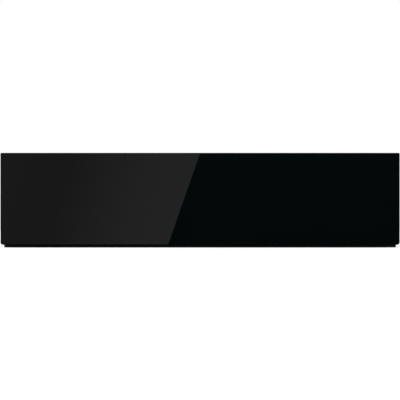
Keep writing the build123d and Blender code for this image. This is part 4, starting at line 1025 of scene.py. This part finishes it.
def knob_pointer():
    """Pale inlay in the groove of the knob's face."""
    work = bmesh.new()
    middle = (KNOB_LOW + KNOB_HIGH) / 2
    low, high = POINTER_SPAN
    face = KNOB_HIGH.y
    bar_on_face(
        work, middle.x, middle.z + (low + high) / 2, POINTER_WIDTH / 2, (high - low) / 2, 0.0,
        face - POINTER_DEPTH, face - POINTER_DEPTH / 4,
    )
    return closed_mesh(work, "knob_pointer")


# ---- properties ----------------------------------------------------------------------------------

def length_property(name, description, default):
    return FloatProperty(
        name=name, description=description, default=default, min=0.0, precision=5, unit="LENGTH"
    )


class DrawerSizes(bpy.types.PropertyGroup):
    """Sizes of the fine pieces."""
    glass_edge: length_property("Glass edge", "Radius ground on the front edge of the glass", 0.0006)
    glass_top_corner: length_property("Top corner", "Radius of the glass's upper corners", 0.002)
    glass_bottom_corner: length_property("Bottom corner", "Radius of the glass's lower corners", 0.004)
    rivet_radius: length_property("Rivet head radius", "Radius of the rivets' low heads", 0.0035)
    rivet_height: length_property("Rivet head height", "Height of the rivets' low heads", 0.0008)
    rivet_shank: length_property("Rivet shank radius", "Radius of the rivets in their holes", 0.002)
    screw_radius: length_property("Screw head radius", "Radius of the front screws' heads", 0.0038)
    screw_height: length_property("Screw head height", "Height of the front screws' heads", 0.0024)
    screw_shank: length_property("Screw radius", "Radius of the front screws over the thread", 0.002)
    screw_length: length_property("Screw length", "Length of the front screws under the head", 0.007)
    stud_pitch: length_property("Stud pitch", "Distance between the mat's studs", 0.009)
    stud_radius: length_property("Stud radius", "Radius of the mat's studs", 0.0027)
    stud_height: length_property("Stud height", "Height of the studs over the mat", 0.0005)
    mat_corner: length_property("Mat corner", "Radius of the mat's corners", 0.01)
    fibre_relief: length_property("Fibre relief", "Depth of the hollows in the fibre boards", 0.0006)
    digit_height: length_property("Digit height", "Height of the numbers round the selector", 0.0042)
    digit_circle: length_property("Digit circle", "Radius on which the numbers stand", 0.0205)


class DrawerColours(bpy.types.PropertyGroup):
    """Colours that are easily changed."""
    glass: FloatVectorProperty(
        name="Glass", description="Colour seen through the front glass", subtype="COLOR",
        default=(0.0017, 0.0033, 0.0037), min=0.0, max=1.0,
    )
    mat: FloatVectorProperty(
        name="Mat", description="Colour of the silicone mat", subtype="COLOR",
        default=(0.033, 0.033, 0.036), min=0.0, max=1.0,
    )


class StudioSettings(bpy.types.PropertyGroup):
    """Camera, lamps and cards."""
    lens: FloatProperty(
        name="Lens", description="Focal length of the camera", default=500.0, min=20.0, unit="CAMERA"
    )
    frame_width: length_property("Frame width", "Width that the camera sees at the glass", 0.59593)
    camera_height: length_property("Camera height", "Height of the camera over the shelf", 0.07075)
    soft_level: FloatProperty(
        name="Soft light", description="Strength of the even light from all round", default=0.62,
        min=0.0,
    )
    key_power: FloatProperty(
        name="Key lamp", description="Power of the lamp over the left shoulder", default=46.0, min=0.0,
        unit="POWER",
    )
    fill_power: FloatProperty(
        name="Fill lamps", description="Power of each lamp beside and behind", default=20.0, min=0.0,
        unit="POWER",
    )
    card_distance: length_property("Card distance", "Distance from the glass to the cards", 0.46)


# ---- pieces --------------------------------------------------------------------------------------

class WARMING_OT_finishes(bpy.types.Operator):
    """Finishes: every metal, enamel, plastic, rubber and glass of the drawer"""
    bl_idname = "warming.finishes"
    bl_label = "Finishes"

    def execute(self, context):
        FINISHES.update(make_finishes(context.scene.drawer_colours))
        return {"FINISHED"}


class WARMING_OT_glass_front(bpy.types.Operator):
    """Glass front: one pane with a ground edge and a black print on its back"""
    bl_idname = "warming.glass_front"
    bl_label = "Glass front"

    def execute(self, context):
        sizes = context.scene.drawer_sizes
        edge = sizes.glass_edge
        y_front, y_back = GLASS_LOW.y, GLASS_HIGH.y
        rings = [(ARRIS, y_back), (0.0, y_back - ARRIS)]
        for step in range(EDGE_STEPS + 1):
            angle = math.radians(90 * step / EDGE_STEPS)
            rings.append((edge * (1 - math.cos(angle)), y_front + edge * (1 - math.sin(angle))))
        work = bmesh.new()
        loops = []
        for inset, y in rings:
            outline = rounded_outline(
                GLASS_LOW.x + inset, GLASS_HIGH.x - inset, GLASS_LOW.z + inset, GLASS_HIGH.z - inset,
                sizes.glass_top_corner - inset, sizes.glass_bottom_corner - inset,
            )
            loops.append([work.verts.new((x, y, z)) for x, z in outline])
        count = len(loops[0])
        for lower, upper in zip(loops, loops[1:]):
            for index in range(count):
                after = (index + 1) % count
                face = work.faces.new((lower[index], lower[after], upper[after], upper[index]))
                face.material_index = PANE_SIDE if lower is loops[1] else PANE_EDGE
        work.faces.new(loops[-1]).material_index = PANE_FACE
        work.faces.new(reversed(loops[0])).material_index = PANE_BACK
        mesh = closed_mesh(work, "glass_front")
        finishes = ("glass", "glass_edge", "glass_print", "glass_side")
        piece("glass_front", mesh, "drawer", ("glass_front_panel",), finishes)
        return {"FINISHED"}


class WARMING_OT_front_frame(bpy.types.Operator):
    """Front frame: four enamelled bars round the opening"""
    bl_idname = "warming.front_frame"
    bl_label = "Front frame"

    def execute(self, context):
        # the bottom bar takes the darker copy of the enamel: painted shade under the overhanging glass
        dress("strip_enamel", "front_frame_bottom")
        dress("frame_enamel", "front_frame_top", "front_frame_left", "front_frame_right")
        return {"FINISHED"}


class WARMING_OT_housing_panels(bpy.types.Operator):
    """Housing: zinc-coated panels and the shield under the top insulation"""
    bl_idname = "warming.housing_panels"
    bl_label = "Housing panels"

    def execute(self, context):
        dress("zinc_sides", "base_panel", "left_side_panel", "right_side_panel")
        dress("zinc_cover", "top_cover")
        dress("zinc_rear", "rear_panel")
        dress("aluminised", "heat_shield")
        return {"FINISHED"}


class WARMING_OT_feet_and_spacers(bpy.types.Operator):
    """Rubber feet and the spacers that keep the housing off the wall"""
    bl_idname = "warming.feet_and_spacers"
    bl_label = "Feet and spacers"

    def execute(self, context):
        dress("foot_rubber", "housing_feet")
        dress("black_plastic", "rear_spacers")
        return {"FINISHED"}


class WARMING_OT_fibre_boards(bpy.types.Operator):
    """Pressed fibre boards over the drawer and under its heater"""
    bl_idname = "warming.fibre_boards"
    bl_label = "Fibre boards"

    def execute(self, context):
        relief = context.scene.drawer_sizes.fibre_relief
        for node, body in (("top_insulation", "housing"), ("heater_insulation", "drawer")):
            mesh = fibre_board(node, relief)
            piece(f"{node}_board", mesh, body, (node,), ("mineral_fibre",))
        return {"FINISHED"}


class WARMING_OT_rivets(bpy.types.Operator):
    """Blind rivets of the housing and of the drawer"""
    bl_idname = "warming.rivets"
    bl_label = "Rivets"

    def execute(self, context):
        sizes = context.scene.drawer_sizes
        maker = rivet_maker(sizes)
        for node, body in (("housing_rivets", "housing"), ("drawer_rivets", "drawer")):
            seats = points_object(f"{node}_seats", *head_seats(node, sizes.rivet_height))
            mesh = maker.bake(seats, f"blind_{node}")
            piece(f"blind_{node}", mesh, body, (node,))
        return {"FINISHED"}


class WARMING_OT_front_screws(bpy.types.Operator):
    """Screws that hold the glass front's carrier to the drawer"""
    bl_idname = "warming.front_screws"
    bl_label = "Front screws"

    def execute(self, context):
        sizes = context.scene.drawer_sizes
        maker = screw_maker(
            "pan_head_screws", sizes.screw_radius, sizes.screw_height, sizes.screw_shank,
            sizes.screw_length,
        )
        points = points_object("screw_seats", *head_seats("front_screws", sizes.screw_height))
        mesh = maker.bake(points, "carrier_screws")
        piece("carrier_screws", mesh, "drawer", ("front_screws",))
        return {"FINISHED"}


class WARMING_OT_drawer_box(bpy.types.Operator):
    """Drawer box: brushed walls and floor, its covers and the carrier behind the glass"""
    bl_idname = "warming.drawer_box"
    bl_label = "Drawer box"

    def execute(self, context):
        dress("stainless_along", "drawer_left_wall", "drawer_right_wall")
        dress("stainless_across", "drawer_floor", "drawer_inner_front", "drawer_rear_wall")
        dress("aluminised", "drawer_back_panel", "drawer_bottom_cover")
        dress("carrier_enamel", "front_carrier")
        dress("adhesive", "glass_adhesive")
        return {"FINISHED"}


class WARMING_OT_mat(bpy.types.Operator):
    """Anti-slip mat: silicone with staggered studs"""
    bl_idname = "warming.mat"
    bl_label = "Anti-slip mat"

    def execute(self, context):
        sizes = context.scene.drawer_sizes
        carrier = points_object("mat_middle", [(0, 0, 0)], [(0, 0, 1)], [0.0])
        mesh = mat_maker(sizes).bake(carrier, "studded_mat")
        middle = (MAT_LOW + MAT_HIGH) / 2
        mesh.transform(Matrix.Translation((middle.x, middle.y, MAT_LOW.z)))
        piece("studded_mat", mesh, "drawer", ("anti_slip_mat",))
        return {"FINISHED"}


class WARMING_OT_rails(bpy.types.Operator):
    """Telescopic rails with their ball cages"""
    bl_idname = "warming.rails"
    bl_label = "Telescopic rails"

    def execute(self, context):
        for side in ("left", "right"):
            dress("rail_zinc", *(f"{side}_{member}_rail" for member in ("cabinet", "middle", "drawer")))
            dress("cage_steel", *(f"{side}_{row}_ball_cage" for row in ("outer", "inner")))
        return {"FINISHED"}


class WARMING_OT_heating(bpy.types.Operator):
    """Floor heater, its clips and the safety thermostat"""
    bl_idname = "warming.heating"
    bl_label = "Heating"

    def execute(self, context):
        dress("heater_sheath", "heating_element", "heater_clips")
        dress("thermostat_case", "safety_thermostat")
        return {"FINISHED"}


class WARMING_OT_selector(bpy.types.Operator):
    """Selector: knob with its pointer, dial plate with numbers and ticks, lamp and switch"""
    bl_idname = "warming.selector"
    bl_label = "Selector"

    def execute(self, context):
        sizes = context.scene.drawer_sizes
        dress("knob_plastic", "selector_knob")
        dress("dial_enamel", "dial_plate")
        dress("amber_lens", "indicator_lens")
        dress("black_plastic", "selector_switch")
        dress("spindle_steel", "selector_spindle")
        ink = ("pale_print",)
        piece("dial_numbers", dial_numbers(sizes), "drawer", finishes=ink)
        piece("dial_ticks", dial_ticks(), "drawer", finishes=ink)
        piece("knob_pointer", knob_pointer(), "knob", finishes=ink)
        return {"FINISHED"}


class WARMING_OT_fan(bpy.types.Operator):
    """Circulation fan: wheel, inlet ring, shaft and motor"""
    bl_idname = "warming.fan"
    bl_label = "Fan"

    def execute(self, context):
        dress("fan_aluminium", "fan_wheel", "fan_inlet_ring")
        dress("motor_steel", "fan_motor")
        dress("spindle_steel", "fan_shaft")
        return {"FINISHED"}


class WARMING_OT_push_latch(bpy.types.Operator):
    """Push latch at the back and the leaf springs that push the drawer out"""
    bl_idname = "warming.push_latch"
    bl_label = "Push latch and springs"

    def execute(self, context):
        dress("latch_nylon", "push_latch_body", "push_latch_jaws", "push_latch_striker")
        dress("spring_steel", "ejector_springs")
        return {"FINISHED"}


class WARMING_OT_connections(bpy.types.Operator):
    """Terminal block with its clamp screws, and the cord entry"""
    bl_idname = "warming.connections"
    bl_label = "Connections"

    def execute(self, context):
        dress("terminal_nylon", "terminal_block")
        dress("black_plastic", "mains_gland")
        low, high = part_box("terminal_block")
        middle = (low + high) / 2
        seat = high.z - CLAMP_SEAT
        seats = [(middle.x + way * CLAMP_PITCH, middle.y, seat) for way in (-1, 0, 1)]
        maker = screw_maker("clamp_screws", CLAMP_RADIUS, CLAMP_HEIGHT, CLAMP_SHANK, CLAMP_LENGTH)
        points = points_object("clamp_seats", seats, [(0, 0, 1)] * 3, [0.0] * 3)
        mesh = maker.bake(points, "clamp_screws")
        piece("clamp_screws", mesh, "housing")
        return {"FINISHED"}


class WARMING_OT_studio(bpy.types.Operator):
    """Studio: white floor, soft light, cards that the glass mirrors, and the camera"""
    bl_idname = "warming.studio"
    bl_label = "Studio"

    def execute(self, context):
        settings = context.scene.drawer_studio
        make_world(context.scene, settings.soft_level)
        make_floor()
        distance = settings.frame_width / 2 / math.tan(math.atan(SENSOR / 2 / settings.lens))
        make_camera(context.scene, settings, distance)
        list(make_cards(settings, distance))
        make_lamps(settings)
        context.scene.view_settings.view_transform = "Standard"
        return {"FINISHED"}


class WARMING_PT_pieces(bpy.types.Panel):
    """Every piece of the warming drawer with its sizes and colours"""
    bl_idname = "WARMING_PT_pieces"
    bl_label = "Warming drawer"
    bl_space_type = "VIEW_3D"
    bl_region_type = "UI"
    bl_category = "Warming drawer"

    def draw(self, context):
        layout = self.layout
        for operator in OPERATORS:
            layout.operator(operator.bl_idname)
        for group in ("drawer_sizes", "drawer_colours", "drawer_studio"):
            settings = getattr(context.scene, group)
            box = layout.box()
            for name in settings.__annotations__:
                box.prop(settings, name)


# ---- studio --------------------------------------------------------------------------------------

def seen_rays(graph):
    """One for rays from the camera, in mirrors and through glass; nought for the light that fills."""
    path = graph.tree.nodes.new("ShaderNodeLightPath").outputs
    camera, glossy, through = (
        Value(graph, path[f"Is {kind} Ray"]) for kind in ("Camera", "Glossy", "Transmission")
    )
    return graph.math("MAXIMUM", graph.math("MAXIMUM", camera, glossy), through)


def make_world(scene, soft_level):
    """Even light from all round, with a white background behind it."""
    world = bpy.data.worlds.new("soft_white_room")
    world.use_nodes = True
    world.node_tree.nodes.clear()
    graph = Graph(world.node_tree)
    soft = graph.node("ShaderNodeBackground", sockets={"Color": WHITE, "Strength": soft_level})
    white = graph.node("ShaderNodeBackground", sockets={"Color": WHITE, "Strength": 1.0})
    both = graph.node("ShaderNodeMixShader", sockets={0: seen_rays(graph), 1: soft, 2: white})
    graph.node("ShaderNodeOutputWorld", sockets={"Surface": both})
    scene.world = world


def stage_mesh(name, corners, material):
    """One flat face of the studio."""
    mesh = bpy.data.meshes.new(name)
    mesh.from_pydata(corners, [], [tuple(range(len(corners)))])
    mesh.materials.append(material)
    return placed(name, mesh)


def make_floor():
    """Pale floor that shows white where nothing shades it."""
    finish = Finish("white_floor")
    matt = finish.node("ShaderNodeBsdfDiffuse", sockets={"Color": FLOOR_COLOUR})
    away = finish.vector_math("LENGTH", finish.place, output="Value")
    level = seen_rays(finish) * finish.span(away, FLOOR_NEAR, FLOOR_FAR, *FLOOR_GLOW)
    glow = finish.node("ShaderNodeEmission", sockets={"Color": WHITE, "Strength": level})
    both = finish.node("ShaderNodeAddShader", sockets={0: matt, 1: glow})
    half = FLOOR_SIZE / 2
    ends = ((-half, -half), (half, -half), (half, half), (-half, half))
    return stage_mesh("white_floor", [(x, y, FLOOR_Z) for x, y in ends], finish.ended(both))


def make_camera(scene, settings, distance):
    """Long lens, level and square to the glass, as the photograph was taken."""
    camera = bpy.data.cameras.new("camera")
    camera.type = "PERSP"
    camera.lens = settings.lens
    camera.sensor_width = SENSOR
    camera.clip_start, camera.clip_end = CLIP
    made = placed("camera", camera)
    made.location = (CAMERA_X, GLASS_LOW.y - distance, settings.camera_height)
    made.rotation_euler = (math.radians(90), 0.0, 0.0)
    scene.camera = made


def mirrored_at(settings, distance, x, z):
    """Where on the cards lies what the camera sees at this point of the glass."""
    share = 1 + settings.card_distance / distance
    height = settings.camera_height
    return CAMERA_X + (x - CAMERA_X) * share, height + (z - height) * share


def make_cards(settings, distance):
    """A grey card and a black one in front of the glass; their common edge slants in its mirror."""
    y = GLASS_LOW.y - settings.card_distance
    top, bottom = (mirrored_at(settings, distance, *point) for point in SHEEN_EDGE)
    slope = (top[0] - bottom[0]) / (top[1] - bottom[1])
    low_x, high_x = (bottom[0] + slope * (z - bottom[1]) for z in (CARD_LOW_Z, CARD_HIGH_Z))
    grey, black = Finish("grey_card"), Finish("black_card")
    across, _, height = grey.split(grey.place)
    from_edge = (low_x + (height - CARD_LOW_Z) * slope - across) / math.hypot(1.0, slope)
    grey_shade = grey.ramp(from_edge / CARD_SHADE_WIDTH, CARD_SHADES)
    across, _, _ = black.split(black.place)
    black_shade = black.ramp(across / CARD_HALF + FLAG_START, FLAG_SHADES)
    cards = []
    for finish, shade, ends in (
        (grey, grey_shade, (-CARD_HALF, low_x, high_x, -CARD_HALF)),
        (black, black_shade, (low_x, CARD_HALF, CARD_HALF, high_x)),
    ):
        glow = finish.node("ShaderNodeEmission", sockets={"Color": shade, "Strength": 1.0})
        heights = (CARD_LOW_Z, CARD_LOW_Z, CARD_HIGH_Z, CARD_HIGH_Z)
        corners = [(x, y, z) for x, z in zip(ends, heights)]
        card = stage_mesh(finish.material.name, corners, finish.ended(glow))
        for rays in ("camera", "diffuse", "shadow", "transmission", "volume_scatter"):
            setattr(card, f"visible_{rays}", False)
        cards.append(card)
    return cards


def make_lamps(settings):
    """A large key lamp over the left shoulder and weaker ones beside, above and behind."""
    for name, place, size, power in LAMPS:
        data = bpy.data.lights.new(name, "AREA")
        data.shape = "SQUARE"
        data.size = size
        data.energy = getattr(settings, power)
        made = placed(name, data)
        made.location = place
        made.rotation_mode = "QUATERNION"
        made.rotation_quaternion = (-Vector(place)).to_track_quat("-Z", "Y")


# ---- registration --------------------------------------------------------------------------------

OPERATORS = (
    WARMING_OT_finishes, WARMING_OT_glass_front, WARMING_OT_front_frame, WARMING_OT_housing_panels,
    WARMING_OT_feet_and_spacers, WARMING_OT_fibre_boards, WARMING_OT_rivets, WARMING_OT_front_screws,
    WARMING_OT_drawer_box, WARMING_OT_mat, WARMING_OT_rails, WARMING_OT_heating, WARMING_OT_selector,
    WARMING_OT_fan, WARMING_OT_push_latch, WARMING_OT_connections, WARMING_OT_studio,
)
CLASSES = (DrawerSizes, DrawerColours, StudioSettings, *OPERATORS, WARMING_PT_pieces)
GROUPS = {"drawer_sizes": DrawerSizes, "drawer_colours": DrawerColours, "drawer_studio": StudioSettings}


def register():
    for item in CLASSES:
        bpy.utils.register_class(item)
    for name, group in GROUPS.items():
        setattr(bpy.types.Scene, name, PointerProperty(type=group))


def unregister():
    for name in GROUPS:
        delattr(bpy.types.Scene, name)
    for item in reversed(CLASSES):
        bpy.utils.unregister_class(item)


def main():
    register()
    for operator in OPERATORS:
        group, name = operator.bl_idname.split(".")
        getattr(getattr(bpy.ops, group), name)()


if __name__ == "__main__":
    main()
